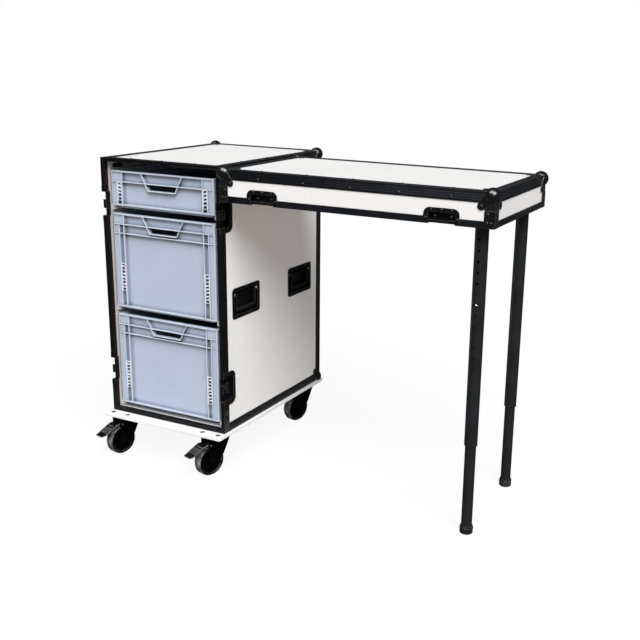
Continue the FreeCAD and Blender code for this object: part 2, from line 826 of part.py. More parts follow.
def handle_grip(side, middle):
    """Sprung grip: two arms on the pin and a round bar between them."""
    pivot = grip_pivot(middle)
    bar_centre = pivot - Z_AXIS * GRIP_DROP_LENGTH
    half = HANDLE_POCKET_LENGTH / 2 - 3 * GRIP_ARM
    pieces = []
    for sign in (1, -1):
        start = Y_AXIS * (sign * half - GRIP_ARM / 2)
        arm = hull_face(
            pivot + start, GRIP_EYE_RADIUS, bar_centre + start, GRIP_RADIUS * 0.85, Y_AXIS
        ).extrude(Y_AXIS * GRIP_ARM)
        bore = rod(GRIP_PIN_RADIUS + RUNNING_FIT, pivot + start - Y_AXIS, Y_AXIS, GRIP_ARM + 2)
        pieces.append(arm.cut(bore))
    bar = rod(GRIP_RADIUS, bar_centre - Y_AXIS * half, Y_AXIS, 2 * half)
    grip = bar.fuse(pieces).removeSplitter()
    return mirrored(grip, side)


def box_ring(low, high, base, inset, corner):
    """A solid slice of the box's outline, inset from its full size."""
    centre = Vector(0, BOX_SETBACK + BOX_LENGTH / 2, base + low)
    return rounded_plate(
        centre, X_AXIS, Y_AXIS, BOX_WIDTH - 2 * inset, BOX_LENGTH - 2 * inset,
        corner, high - low,
    )


def grip_outline(y, base, height, widen, low, high):
    """Corner points of a trapezoid in the handle's slope, between two drops."""
    def half_at(drop):
        share = drop / GRIP_DROP
        return (GRIP_TOP + (GRIP_BOTTOM - GRIP_TOP) * share) / 2 + widen

    top = base + height
    return [
        Vector(-half_at(low), y, top - low),
        Vector(half_at(low), y, top - low),
        Vector(half_at(high), y, top - high),
        Vector(-half_at(high), y, top - high),
    ]


def corner_columns(base, height, low, high):
    """The box's four corner columns, wider above the first rib, each with a round edge post."""
    half = BOX_WIDTH / 2
    band = base + height - BOX_RIB_DROP
    outline = box_ring(low - base, high - base, base, 0, BOX_CORNER)
    depth = BOX_LADDER_INSETS[0]
    post = BOX_COLUMN_INSET + BOX_RIB / 2
    pieces = []
    for sign in (1, -1):
        for face, inward in ((BOX_SETBACK, 1), (BOX_SETBACK + BOX_LENGTH, -1)):
            for near, far_x, far_y, bottom in (
                (0, post, post, low),
                (BOX_COLUMN_INSET, BOX_LADDER_INSETS[0], depth, low),
                (BOX_COLUMN_INSET, BOX_LADDER_INSETS[1], depth, band),
            ):
                x0, x1 = sorted((sign * (half - near), sign * (half - far_x)))
                y0, y1 = sorted((face + inward * near, face + inward * far_y))
                pieces.append(block(x0, x1, y0, y1, bottom, high).common(outline))
    return pieces


def stacking_box(base, height):
    """One stacking box: shell, foot, rim, rings of ribs, columns, posts and open hand grips."""
    front = BOX_SETBACK
    back = BOX_SETBACK + BOX_LENGTH
    depth = BOX_RIB_DEPTH
    wall_inset = depth
    inner_corner = BOX_CORNER
    body = box_ring(BOX_FOOT_HEIGHT, height, base, wall_inset, inner_corner)
    foot = box_ring(0, BOX_FOOT_HEIGHT, base, BOX_FOOT_INSET, inner_corner)
    rings = [
        (BOX_FOOT_HEIGHT, BOX_FOOT_HEIGHT + BOX_FOOT_BAND),
        (height - BOX_RIM, height),
        (height - BOX_RIB_DROP - BOX_RIB, height - BOX_RIB_DROP),
    ]
    if height > 2 * BOX_SECOND_RIB_DROP:
        drop = height - BOX_SECOND_RIB_DROP
        rings.append((drop - BOX_RIB, drop))
    pieces = [foot]
    for low, high in rings:
        pieces.append(box_ring(low, high, base, 0, BOX_CORNER))
    rib_low = base + BOX_FOOT_HEIGHT + BOX_FOOT_BAND / 2
    rib_high = base + height - BOX_RIM / 2
    half = BOX_WIDTH / 2
    pieces += corner_columns(base, height, rib_low, rib_high)
    for inset, top in zip(BOX_LADDER_INSETS, (base + height - BOX_RIB_DROP, rib_high)):
        for sign in (1, -1):
            middle = sign * (half - inset)
            for y0 in (front, back - depth - BOX_WALL / 2):
                pieces.append(block(
                    middle - BOX_RIB / 2, middle + BOX_RIB / 2,
                    y0, y0 + depth + BOX_WALL / 2, rib_low, top,
                ))
    for index in range(1, BOX_SIDE_RIBS + 1):
        middle = front + BOX_LENGTH * index / (BOX_SIDE_RIBS + 1)
        for x0 in (-half, half - depth - BOX_WALL / 2):
            pieces.append(block(
                x0, x0 + depth + BOX_WALL / 2,
                middle - BOX_RIB / 2, middle + BOX_RIB / 2, rib_low, rib_high,
            ))
    for y0 in (front, back - depth - BOX_WALL / 2):
        frame = prism(
            grip_outline(y0, base, height, BOX_RIB, BOX_RIM / 2, GRIP_DROP + BOX_RIB),
            Y_AXIS * (depth + BOX_WALL / 2),
        )
        space = prism(
            grip_outline(y0, base, height, 0, 0, GRIP_DROP),
            Y_AXIS * (depth + BOX_WALL / 2),
        )
        pieces.append(frame.cut(space))
    shell = body.fuse(pieces)
    cavity = box_ring(
        BOX_FOOT_HEIGHT + BOX_WALL, height + OVERRUN, base, wall_inset + BOX_WALL, BOX_CORNER
    )
    foot_cavity = box_ring(
        BOX_WALL, BOX_FOOT_HEIGHT + BOX_WALL, base, BOX_FOOT_INSET + BOX_WALL, BOX_CORNER
    )
    hand_holes = prism(
        grip_outline(front - OVERRUN, base, height, 0, BOX_RIB_DROP + BOX_RIB, GRIP_DROP),
        Y_AXIS * (BOX_LENGTH + 2 * OVERRUN),
    )
    return shell.cut([cavity, foot_cavity, hand_holes]).removeSplitter()


def bolt_places():
    """Middle of every bolt hole, four to a castor."""
    places = []
    for x, y, turn in castor_places():
        for sign_x in (1, -1):
            for sign_y in (1, -1):
                places.append((x + sign_x * BOLT_PITCH_X / 2, y + sign_y * BOLT_PITCH_Y / 2))
    return places


def bolt_profile(grow):
    """Countersunk bolt as (radius, height above the board's top), grown by a play."""
    shank = BOLT_RADIUS + grow
    head = BOLT_HEAD_RADIUS + grow
    end = -(BOARD + PLATE + NUT + BOLT_END)
    return [(0, 0), (head, 0), (shank, -BOLT_HEAD), (shank, end), (0, end)]


def castor_board():
    """The board that carries the castors, with its countersunk bolt holes."""
    length = CASE_DEPTH + BOARD_FRONT + BOARD_BACK
    centre = Vector(0, length / 2 - BOARD_FRONT, CASTOR_HEIGHT)
    board = rounded_plate(
        centre, X_AXIS, Y_AXIS, CASE_WIDTH + 2 * BOARD_SIDE, length, BOARD_CORNER, BOARD
    )
    holes = [
        revolved(bolt_profile(BOLT_PLAY), Vector(x, y, BOARD_TOP), Z_AXIS, X_AXIS)
        for x, y in bolt_places()
    ]
    return board.cut(holes)


def castor_bolts():
    """Countersunk bolts, each with a hexagon nut under the castor's plate."""
    pieces = []
    for x, y in bolt_places():
        pieces.append(revolved(bolt_profile(0), Vector(x, y, BOARD_TOP), Z_AXIS, X_AXIS))
        radius = NUT_ACROSS / 2 / math.cos(math.pi / 6)
        level = CASTOR_HEIGHT - PLATE - NUT
        corners = [
            Vector(
                x + radius * math.cos(math.pi * index / 3),
                y + radius * math.sin(math.pi * index / 3),
                level,
            )
            for index in range(6)
        ]
        nut = prism(corners, Z_AXIS * NUT)
        pieces.append(nut.cut(rod(BOLT_RADIUS, Vector(x, y, level - NUT), Z_AXIS, 3 * NUT)))
    return Part.makeCompound(pieces)


def crown_top():
    """Height of the top of a fork's crown."""
    return CASTOR_HEIGHT - PLATE - RACE - FREE_GAP


def castor_plates():
    """Top plates, each with its ball race and the king pin that holds the fork."""
    plates = []
    for x, y, turn in castor_places():
        plate = rounded_plate(
            Vector(x, y, CASTOR_HEIGHT - PLATE), X_AXIS, Y_AXIS,
            PLATE_WIDTH, PLATE_LENGTH, PLATE_CORNER, PLATE,
        )
        holes = [
            rod(
                BOLT_RADIUS + BOLT_PLAY,
                Vector(
                    x + sign_x * BOLT_PITCH_X / 2,
                    y + sign_y * BOLT_PITCH_Y / 2,
                    CASTOR_HEIGHT - 2 * PLATE,
                ),
                Z_AXIS, 3 * PLATE,
            )
            for sign_x in (1, -1) for sign_y in (1, -1)
        ]
        head_top = crown_top() - CROWN - FREE_GAP
        stem = revolved(
            [
                (0, head_top - KING_PIN_HEAD),
                (KING_PIN_HEAD_RADIUS, head_top - KING_PIN_HEAD),
                (KING_PIN_HEAD_RADIUS, head_top),
                (KING_PIN_RADIUS, head_top),
                (KING_PIN_RADIUS, crown_top() + FREE_GAP),
                (RACE_RADIUS - RACE / 2, crown_top() + FREE_GAP),
                (RACE_RADIUS, crown_top() + FREE_GAP + RACE / 2),
                (RACE_RADIUS, CASTOR_HEIGHT - PLATE / 2),
                (0, CASTOR_HEIGHT - PLATE / 2),
            ],
            Vector(x, y, 0), Z_AXIS, X_AXIS,
        )
        plates.append(plate.cut(holes).fuse(stem).removeSplitter())
    return Part.makeCompound(plates)


def castor_fork(place):
    """Swivel fork with its turned-up crown, and the axle bolt through its legs."""
    x, y, turn = place
    trailing, axle = castor_heading(turn)
    pivot = Vector(x, y, 0)
    top = crown_top()
    web_top = top - CROWN + FORK_SHEET
    outside = FORK_INSIDE / 2 + FORK_SHEET

    def at(s, z):
        return pivot + trailing * s + Z_AXIS * z - axle * outside

    boss = Vector(TRAIL, WHEEL_RADIUS, 0)
    skirt = Vector(-FORK_SKIRT_LEAD, WHEEL_RADIUS + FORK_BOSS + FORK_SHEET, 0)
    reach = skirt - boss
    touch = math.atan2(reach.y, reach.x) + math.acos(FORK_BOSS / reach.Length)
    touch_point = (boss.x + FORK_BOSS * math.cos(touch), boss.y + FORK_BOSS * math.sin(touch))
    edges = [
        Part.makeLine(at(-FORK_LEAD, web_top), at(TRAIL + FORK_BOSS, web_top)),
        Part.makeLine(at(TRAIL + FORK_BOSS, web_top), at(TRAIL + FORK_BOSS, boss.y)),
        Part.Arc(
            at(TRAIL + FORK_BOSS, boss.y), at(TRAIL, boss.y - FORK_BOSS), at(*touch_point)
        ).toShape(),
        Part.makeLine(at(*touch_point), at(skirt.x, skirt.y)),
        Part.makeLine(at(skirt.x, skirt.y), at(-FORK_LEAD, web_top - 3 * FORK_SHEET)),
        Part.makeLine(at(-FORK_LEAD, web_top - 3 * FORK_SHEET), at(-FORK_LEAD, web_top)),
    ]
    legs = Part.Face(Part.Wire(edges)).extrude(axle * (2 * outside))
    inside = prism(
        [
            pivot + trailing * s - axle * (FORK_INSIDE / 2) + Z_AXIS * z
            for s, z in (
                (-2 * FORK_LEAD, 0),
                (TRAIL + 2 * FORK_BOSS, 0),
                (TRAIL + 2 * FORK_BOSS, web_top - FORK_SHEET),
                (-2 * FORK_LEAD, web_top - FORK_SHEET),
            )
        ],
        axle * FORK_INSIDE,
    )
    crown = revolved(
        [
            (0, top - CROWN),
            (CROWN_RADIUS - CROWN_RIM / 2, top - CROWN),
            (CROWN_RADIUS, top),
            (CROWN_RADIUS, top + CROWN_RIM),
            (RACE_RADIUS + CROWN_RIM / 2, top + CROWN_RIM),
            (RACE_RADIUS + CROWN_RIM / 2, top),
            (0, top),
        ],
        pivot, Z_AXIS, trailing,
    )
    king_bore = rod(
        KING_PIN_RADIUS + RUNNING_FIT, pivot + Z_AXIS * (top - 3 * CROWN), Z_AXIS, 4 * CROWN
    )
    axle_start = pivot + trailing * TRAIL + Z_AXIS * WHEEL_RADIUS
    axle_bore = rod(AXLE_RADIUS, axle_start - axle * (2 * outside), axle, 4 * outside)
    fork = legs.cut(inside).fuse(crown).cut([king_bore, axle_bore]).removeSplitter()
    bolt = revolved(
        [
            (0, -outside - AXLE_HEAD),
            (AXLE_HEAD_RADIUS, -outside - AXLE_HEAD),
            (AXLE_HEAD_RADIUS, -outside),
            (AXLE_RADIUS, -outside),
            (AXLE_RADIUS, outside),
            (AXLE_HEAD_RADIUS, outside),
            (AXLE_HEAD_RADIUS, outside + AXLE_HEAD),
            (0, outside + AXLE_HEAD),
        ],
        axle_start, axle, trailing,
    )
    return Part.makeCompound([fork, bolt])


def wheel_centre(place):
    """Middle of a castor's wheel."""
    x, y, turn = place
    trailing, axle = castor_heading(turn)
    return Vector(x, y, WHEEL_RADIUS) + trailing * TRAIL


def castor_hub(place):
    """Dished wheel hub with its long boss, running on the axle bolt."""
    trailing, axle = castor_heading(place[2])
    boss_half = FORK_INSIDE / 2 - FREE_GAP
    rim_half = HUB_RIM_WIDTH / 2
    web_half = rim_half - HUB_WEB_DROP
    right = [
        (HUB_BOSS_RADIUS, boss_half),
        (HUB_BOSS_RADIUS + HUB_BOSS_TAPER, web_half),
        (HUB_RADIUS - HUB_RIM - HUB_RIM_TAPER, web_half),
        (HUB_RADIUS - HUB_RIM, rim_half),
        (HUB_RADIUS, rim_half),
    ]
    bore = AXLE_RADIUS + RUNNING_FIT
    profile = [(bore, -boss_half)] + [(r, -h) for r, h in right]
    profile += [(r, h) for r, h in reversed(right)] + [(bore, boss_half)]
    return revolved(profile, wheel_centre(place), axle, trailing)


def castor_tyre(place):
    """Solid tyre with rounded shoulders and a groove round the tread."""
    trailing, axle = castor_heading(place[2])
    half = TYRE_WIDTH / 2
    shoulder = (WHEEL_RADIUS - HUB_RADIUS) / 3
    right = [
        (HUB_RADIUS, HUB_RIM_WIDTH / 2),
        (HUB_RADIUS + shoulder / 2, half),
        (WHEEL_RADIUS - shoulder, half),
        (WHEEL_RADIUS, half - 1.6 * shoulder),
        (WHEEL_RADIUS, GROOVE_WIDTH),
        (WHEEL_RADIUS - GROOVE_WIDTH, GROOVE_WIDTH),
    ]
    profile = [(r, -h) for r, h in right] + [(r, h) for r, h in reversed(right)]
    return revolved(profile, wheel_centre(place), axle, trailing)


def pedal_pivot(place):
    """Middle of the axis that a brake pedal turns on."""
    trailing, axle = castor_heading(place[2])
    return wheel_centre(place) + trailing * PEDAL_PIVOT_OUT + Z_AXIS * PEDAL_PIVOT_RISE


def pedal_ridges(slab, knee, run):
    """Raised ribs on a pedal's slope: one along each edge, four between, and one across.

    The slab function makes a solid of a side outline, knee is the slope's upper end as
    (distance, height), and run the way from there to its lower end.
    """
    half = PEDAL_WIDTH / 2

    def ridge(first, last, low, high):
        ends = [(knee[0] + run[0] * share, knee[1] + run[1] * share) for share in (first, last)]
        outline = [(s, z + PEDAL_RIDGE_RISE) for s, z in ends]
        outline += [(s, z - PEDAL_SHEET / 2) for s, z in reversed(ends)]
        return slab(outline, low, high)

    ridges = [
        ridge(0, 1, -half, PEDAL_RIDGE - half),
        ridge(0, 1, half - PEDAL_RIDGE, half),
        ridge(0.2, 0.27, -half, half),
    ]
    for step in (-1.5, -0.5, 0.5, 1.5):
        middle = step * PEDAL_RIDGE_PITCH
        ridges.append(ridge(0.4, 0.9, middle - PEDAL_RIDGE / 2, middle + PEDAL_RIDGE / 2))
    return ridges


def brake_pedal(place):
    """Brake pedal: eye on its pin, neck, sloping ribbed tread, tapered lip, and brake shoe."""
    trailing, axle = castor_heading(place[2])
    pivot = pedal_pivot(place)
    half = PEDAL_WIDTH / 2
    neck_half = PEDAL_EYE_WIDTH / 2

    def slab(outline, low, high):
        start = pivot + axle * low
        return prism([start + trailing * s + Z_AXIS * z for s, z in outline], axle * (high - low))

    def neck_top(s):
        return PEDAL_EYE_RADIUS - PEDAL_KNEE_DROP * s / PEDAL_KNEE

    def plate(top, low, high):
        return slab(top + [(s, z - PEDAL_SHEET) for s, z in reversed(top)], low, high)

    knee = (PEDAL_KNEE, neck_top(PEDAL_KNEE))
    end = (PEDAL_REACH, -PEDAL_FALL)
    tip = PEDAL_REACH + PEDAL_LIP
    neck = plate([(0, PEDAL_EYE_RADIUS), knee], -neck_half, neck_half)
    tread = plate(
        [(PEDAL_NECK, neck_top(PEDAL_NECK)), knee, end, (tip, -PEDAL_FALL - PEDAL_LIP_FALL)],
        -half, half,
    )
    corners = []
    for sign in (1, -1):
        wedge = [(PEDAL_REACH, half), (tip, half - PEDAL_LIP_TAPER), (tip + OVERRUN, half)]
        base = pivot - Z_AXIS * (2 * PEDAL_FALL)
        corners.append(prism(
            [base + trailing * s + axle * (sign * w) for s, w in wedge],
            Z_AXIS * (2 * PEDAL_FALL),
        ))
    shoe_s = PEDAL_EYE_RADIUS * 3
    axle_to_shoe = PEDAL_PIVOT_OUT + shoe_s
    shoe_level = math.sqrt((WHEEL_RADIUS + SHOE_GAP) ** 2 - axle_to_shoe ** 2)
    shoe_z = shoe_level - PEDAL_PIVOT_RISE
    first = shoe_s - 2 * PEDAL_SHEET
    last = shoe_s + PEDAL_SHEET
    shoe = slab(
        [
            (first, neck_top(first) - PEDAL_SHEET / 2),
            (first, shoe_z + PEDAL_SHEET),
            (shoe_s, shoe_z),
            (last, shoe_z + PEDAL_SHEET / 2),
            (last, neck_top(last) - PEDAL_SHEET / 2),
        ],
        -neck_half, neck_half,
    )
    eye = rod(PEDAL_EYE_RADIUS, pivot - axle * neck_half, axle, PEDAL_EYE_WIDTH)
    pins = rod(
        PEDAL_PIN_RADIUS, pivot - axle * (FORK_INSIDE / 2 + FORK_SHEET), axle,
        FORK_INSIDE + 2 * FORK_SHEET,
    )
    ridges = pedal_ridges(slab, knee, (end[0] - knee[0], end[1] - knee[1]))
    return neck.fuse([tread.cut(corners), eye, shoe, pins] + ridges).removeSplitter()


def braked_fork(place):
    """A fork with the two holes that its brake pedal's pin turns in."""
    trailing, axle = castor_heading(place[2])
    start = pedal_pivot(place) - axle * FORK_INSIDE
    bore = rod(PEDAL_PIN_RADIUS + RUNNING_FIT, start, axle, 2 * FORK_INSIDE)
    fork, bolt = castor_fork(place).Solids
    return Part.makeCompound([fork.cut(bore), bolt])


def keeper_pocket(x, side_y, inward):
    """The space cut for one keeper in the table's wall and closing frame."""
    half = LATCH_POCKET_LENGTH / 2 + FITTING_SHEET
    near = side_y - inward * FITTING_SHEET
    far = side_y + inward * (LATCH_POCKET_DEPTH + FITTING_SHEET)
    return block(
        x - half, x + half, min(near, far), max(near, far),
        TABLE_BOTTOM - TONGUE_HEIGHT * 2, TABLE_BOTTOM + KEEPER_POCKET_HEIGHT + FITTING_SHEET,
    )


def keeper_places():
    """x, face y and inward direction of each keeper."""
    return [
        (x, side_y, inward)
        for side_y, inward in ((TABLE_FRONT, 1), (TABLE_BACK, -1))
        for x in KEEPER_PLACES
    ]


def table_panel():
    """The lid's main panel, which is the work surface."""
    return block(
        TABLE_LEFT + EDGE_SHEET, TABLE_RIGHT - EDGE_SHEET,
        TABLE_FRONT + EDGE_SHEET, TABLE_BACK - EDGE_SHEET,
        TABLE_UNDERSIDE, TABLE_UNDERSIDE + PANEL,
    )


def table_walls():
    """Two long walls and two end walls round the underside."""
    low = TABLE_BOTTOM + FRAME_WEB
    left = TABLE_LEFT + EDGE_SHEET
    right = TABLE_RIGHT - EDGE_SHEET
    front = TABLE_FRONT + EDGE_SHEET
    back = TABLE_BACK - EDGE_SHEET
    pockets = [keeper_pocket(*place) for place in keeper_places()]
    long_walls = [
        block(left, right, y0, y0 + PANEL, low, TABLE_UNDERSIDE).cut(pockets)
        for y0 in (front, back - PANEL)
    ]
    end_walls = [
        block(x0, x0 + PANEL, front + PANEL, back - PANEL, low, TABLE_UNDERSIDE)
        for x0 in (left, right - PANEL)
    ]
    return Part.makeCompound(long_walls + end_walls)


def table_corners():
    """x, y and the directions into the table of each of its corners."""
    return [
        (x, y, sign_x, sign_y)
        for x, sign_x in ((TABLE_LEFT, 1), (TABLE_RIGHT, -1))
        for y, sign_y in ((TABLE_FRONT, 1), (TABLE_BACK, -1))
    ]


def table_edge_angles():
    """Grooved angles: mitred round the table's upper edges, and one down each corner."""
    profile = angle_profile()
    corner = Vector(TABLE_LEFT, TABLE_FRONT, TABLE_TOP)
    bars = mitred_frame(
        profile, corner, X_AXIS, TABLE_LENGTH, Y_AXIS, CASE_WIDTH, Z_AXIS * -1
    )
    low = TABLE_BOTTOM + CLOSING_LEG
    length = TABLE_TOP - EDGE_LEG - low
    for x, y, sign_x, sign_y in table_corners():
        bars.append(straight_bar(
            profile, length, Vector(x, y, low), Z_AXIS, X_AXIS * sign_x, Y_AXIS * sign_y
        ))
    return Part.makeCompound(bars)


def table_closing_frame():
    """Channel with a tongue round the lower edge, cut away at the keepers."""
    profile = channel_profile(CLOSING_LEG, CLOSING_INNER_LEG, True)
    corner = Vector(TABLE_LEFT, TABLE_FRONT, TABLE_BOTTOM)
    bars = mitred_frame(profile, corner, X_AXIS, TABLE_LENGTH, Y_AXIS, CASE_WIDTH, Z_AXIS)
    pockets = [keeper_pocket(*place) for place in keeper_places()]
    lengths = bars[2:]
    for bar in bars[:2]:
        lengths += bar.cut(pockets).Solids
    return Part.makeCompound(lengths)


def table_corner_fittings():
    """Ball corners on the upper corners, and an angled brace under each."""
    leg = BRACE_LEG + FITTING_SHEET
    profile = [
        (0, 0), (leg, 0), (leg, FITTING_SHEET), (FITTING_SHEET, FITTING_SHEET),
        (FITTING_SHEET, leg), (0, leg),
    ]
    rise = TABLE_DEPTH - PETAL_INSET - PETAL_RADIUS - FREE_GAP
    pieces = []
    for x, y, sign_x, sign_y in table_corners():
        inward_x = X_AXIS * sign_x
        inward_y = Y_AXIS * sign_y
        pieces.append(ball_corner(Vector(x, y, TABLE_TOP), sign_x, sign_y, -1))
        outer = Vector(x, y, TABLE_BOTTOM) - (inward_x + inward_y) * FITTING_SHEET
        pieces.append(straight_bar(profile, rise, outer, Z_AXIS, inward_x, inward_y))
    return Part.makeCompound(pieces)


def table_keeper(x, side_y, inward):
    """Keeper dish: flange, pocket open below, and the bar that the hook pulls on."""
    half = LATCH_POCKET_LENGTH / 2
    top = TABLE_BOTTOM + KEEPER_POCKET_HEIGHT
    outward = Vector(0, -inward, 0)
    face = Vector(x, side_y, TABLE_BOTTOM)
    across = Vector(inward, 0, 0)
    flange = rounded_plate(
        face, across, Z_AXIS, KEEPER_WIDTH, 2 * KEEPER_HEIGHT, KEEPER_CORNER, FITTING_SHEET
    )
    low = min(side_y, side_y + outward.y * FITTING_SHEET)
    high = max(side_y, side_y + outward.y * FITTING_SHEET)
    flange = flange.cut([
        block(
            x - KEEPER_WIDTH, x + KEEPER_WIDTH, low - OVERRUN, high + OVERRUN,
            TABLE_BOTTOM - 2 * KEEPER_HEIGHT, TABLE_BOTTOM,
        ),
        block(
            x - half, x + half, low - OVERRUN, high + OVERRUN, TABLE_BOTTOM - OVERRUN, top
        ),
    ])
    depth = LATCH_POCKET_DEPTH
    ends = sorted((side_y + outward.y * FITTING_SHEET / 2, side_y + inward * depth))
    walls = block(
        x - half - FITTING_SHEET, x + half + FITTING_SHEET,
        ends[0] - (FITTING_SHEET if inward < 0 else 0),
        ends[1] + (FITTING_SHEET if inward > 0 else 0),
        TABLE_BOTTOM, top + FITTING_SHEET,
    )
    walls = walls.cut(block(
        x - half, x + half,
        ends[0] - (0 if inward < 0 else OVERRUN), ends[1] + (0 if inward > 0 else OVERRUN),
        TABLE_BOTTOM - OVERRUN, top,
    ))
    bar_y = sorted((side_y + inward * depth / 4, side_y + inward * (depth + 0.5)))
    bar = block(
        x - half - FITTING_SHEET / 2, x + half + FITTING_SHEET / 2, bar_y[0], bar_y[1],
        TABLE_BOTTOM + KEEPER_BAR, TABLE_BOTTOM + 2 * KEEPER_BAR,
    )
    return flange.fuse([walls, bar]).removeSplitter()


def table_keeper_dishes():
    """The four keepers that the case's latches close on."""
    return Part.makeCompound([table_keeper(*place) for place in keeper_places()])


def rail_lip_x():
    """Left face of the lip of the table's rail."""
    return OUTER_FACE + RAIL_SHEET + RAIL_PLAY


def rail_level():
    """Height of the shelf that the table's rail rests on."""
    return TABLE_UNDERSIDE - RAIL_HEIGHT


def case_hanger_rail():
    """Rail on the case's right side: back plate, shelf and upstanding lip."""
    y0 = (TABLE_FRONT + TABLE_BACK - RAIL_LENGTH) / 2
    lip = rail_lip_x() + RAIL_LIP + RAIL_PLAY
    level = rail_level()
    top = level + RAIL_OVERLAP
    profile = [
        (OUTER_FACE, level - RAIL_OVERLAP),
        (OUTER_FACE + RAIL_SHEET, level - RAIL_OVERLAP),
        (OUTER_FACE + RAIL_SHEET, level - RAIL_SHEET),
        (lip + RAIL_SHEET, level - RAIL_SHEET),
        (lip + RAIL_SHEET, top),
        (lip, top),
        (lip, level),
        (OUTER_FACE + RAIL_SHEET, level),
        (OUTER_FACE + RAIL_SHEET, top),
        (OUTER_FACE, top),
    ]
    return prism([Vector(x, y0, z) for x, z in profile], Y_AXIS * RAIL_LENGTH)


def table_hanger_rail():
    """Rail on the table's end wall: back plate, shelf and a lip that hooks down."""
    y0 = (TABLE_FRONT + TABLE_BACK - RAIL_LENGTH) / 2
    wall = TABLE_LEFT + EDGE_SHEET
    lip = rail_lip_x()
    level = rail_level()
    shelf = level + RAIL_OVERLAP + RAIL_SHEET
    profile = [
        (lip, level),
        (lip + RAIL_LIP, level),
        (lip + RAIL_LIP, shelf),
        (wall - RAIL_SHEET, shelf),
        (wall - RAIL_SHEET, level + RAIL_SHEET),
        (wall, level + RAIL_SHEET),
        (wall, shelf + RAIL_SHEET),
        (lip, shelf + RAIL_SHEET),
    ]
    return prism([Vector(x, y0, z) for x, z in profile], Y_AXIS * RAIL_LENGTH)


def leg_sockets():
    """Plates under the table top, each with the sleeve that a leg plugs into."""
    sockets = []
    for name, y, facing in leg_places():
        plate = rounded_plate(
            Vector(LEG_X, y, LEG_TOP), X_AXIS, Y_AXIS,
            SOCKET_PLATE, SOCKET_PLATE, SOCKET_CORNER, SOCKET_SHEET,
        )
        inner = LEG_OUTER_RADIUS + RUNNING_FIT
        sleeve = revolved(
            [
                (inner, LEG_TOP - SOCKET_LENGTH),
                (inner + SOCKET_WALL, LEG_TOP - SOCKET_LENGTH),
                (inner + SOCKET_WALL, LEG_TOP),
                (inner, LEG_TOP),
            ],
            Vector(LEG_X, y, 0), Z_AXIS, X_AXIS,
        )
        sockets.append(plate.fuse(sleeve).removeSplitter())
    return Part.makeCompound(sockets)


def leg_outer(y, facing):
    """Outer tube with its row of holes, and the guide bush in its lower end."""
    base = Vector(LEG_X, y, 0)
    inner = LEG_OUTER_RADIUS - LEG_OUTER_WALL
    tube = revolved(
        [
            (inner, LEG_OUTER_END),
            (LEG_OUTER_RADIUS, LEG_OUTER_END),
            (LEG_OUTER_RADIUS, LEG_TOP),
            (inner, LEG_TOP),
        ],
        base, Z_AXIS, X_AXIS,
    )
    holes = [
        rod(
            LEG_HOLE_RADIUS,
            Vector(LEG_X, y, LEG_BUTTON_HEIGHT + index * LEG_HOLE_PITCH),
            Y_AXIS * facing, 2 * LEG_OUTER_RADIUS,
        )
        for index in range(-LEG_HOLES_EACH_WAY, LEG_HOLES_EACH_WAY + 1)
    ]
    bore = LEG_INNER_RADIUS + SLIDING_FIT
    bush = revolved(
        [
            (bore, LEG_OUTER_END - LEG_BUSH_LIP),
            (LEG_OUTER_RADIUS, LEG_OUTER_END - LEG_BUSH_LIP),
            (LEG_OUTER_RADIUS, LEG_OUTER_END),
            (inner, LEG_OUTER_END),
            (inner, LEG_OUTER_END + LEG_BUSH),
            (bore, LEG_OUTER_END + LEG_BUSH),
        ],
        base, Z_AXIS, X_AXIS,
    )
    return Part.makeCompound([tube.cut(holes), bush])


def leg_inner(y, facing):
    """Inner tube with its button hole, and the guide plug in its upper end."""
    base = Vector(LEG_X, y, 0)
    inner = LEG_INNER_RADIUS - LEG_INNER_WALL
    top = LEG_BUTTON_HEIGHT + LEG_INNER_TOP
    tube = revolved(
        [
            (inner, LEG_FOOT_BASE),
            (LEG_INNER_RADIUS, LEG_FOOT_BASE),
            (LEG_INNER_RADIUS, top),
            (inner, top),
        ],
        base, Z_AXIS, X_AXIS,
    )
    hole = rod(
        BUTTON_RADIUS + SLIDING_FIT, Vector(LEG_X, y, LEG_BUTTON_HEIGHT), Y_AXIS * facing,
        2 * LEG_OUTER_RADIUS,
    )
    guide_radius = LEG_OUTER_RADIUS - LEG_OUTER_WALL - SLIDING_FIT
    plug = revolved(
        [
            (0, top - LEG_GUIDE),
            (inner, top - LEG_GUIDE),
            (inner, top),
            (guide_radius, top),
            (guide_radius, top + LEG_GUIDE),
            (0, top + LEG_GUIDE),
        ],
        base, Z_AXIS, X_AXIS,
    )
    return Part.makeCompound([tube.cut(hole), plug])


def leg_button(y, facing):
    """Snap button with the leaf spring that pushes it out."""
    outward = Y_AXIS * facing
    centre = Vector(LEG_X, y, LEG_BUTTON_HEIGHT)
    root = LEG_INNER_RADIUS - LEG_INNER_WALL - 2 * SPRING_STRIP
    tip = LEG_OUTER_RADIUS + BUTTON_PROUD
    button = revolved(
        [
            (0, root),
            (BUTTON_RADIUS, root),
            (BUTTON_RADIUS, tip - BUTTON_PROUD),
            (BUTTON_RADIUS * 0.7, tip - BUTTON_PROUD / 4),
            (0, tip),
        ],
        centre, outward, Z_AXIS,
    )
    back = root - SPRING_STRIP
    bend = LEG_INNER_RADIUS / 2
    strip = [
        (root, bend), (root, -bend), (-bend + 2 * SPRING_STRIP, -3 * LEG_INNER_RADIUS),
        (-bend + 2 * SPRING_STRIP, -4 * LEG_INNER_RADIUS),
        (-bend + SPRING_STRIP, -4 * LEG_INNER_RADIUS),
        (-bend + SPRING_STRIP, -3 * LEG_INNER_RADIUS), (back, -bend), (back, bend),
    ]
    start = centre - X_AXIS * (SPRING_WIDTH / 2)
    spring = prism([start + outward * s + Z_AXIS * z for s, z in strip], X_AXIS * SPRING_WIDTH)
    return Part.makeCompound([button, spring])


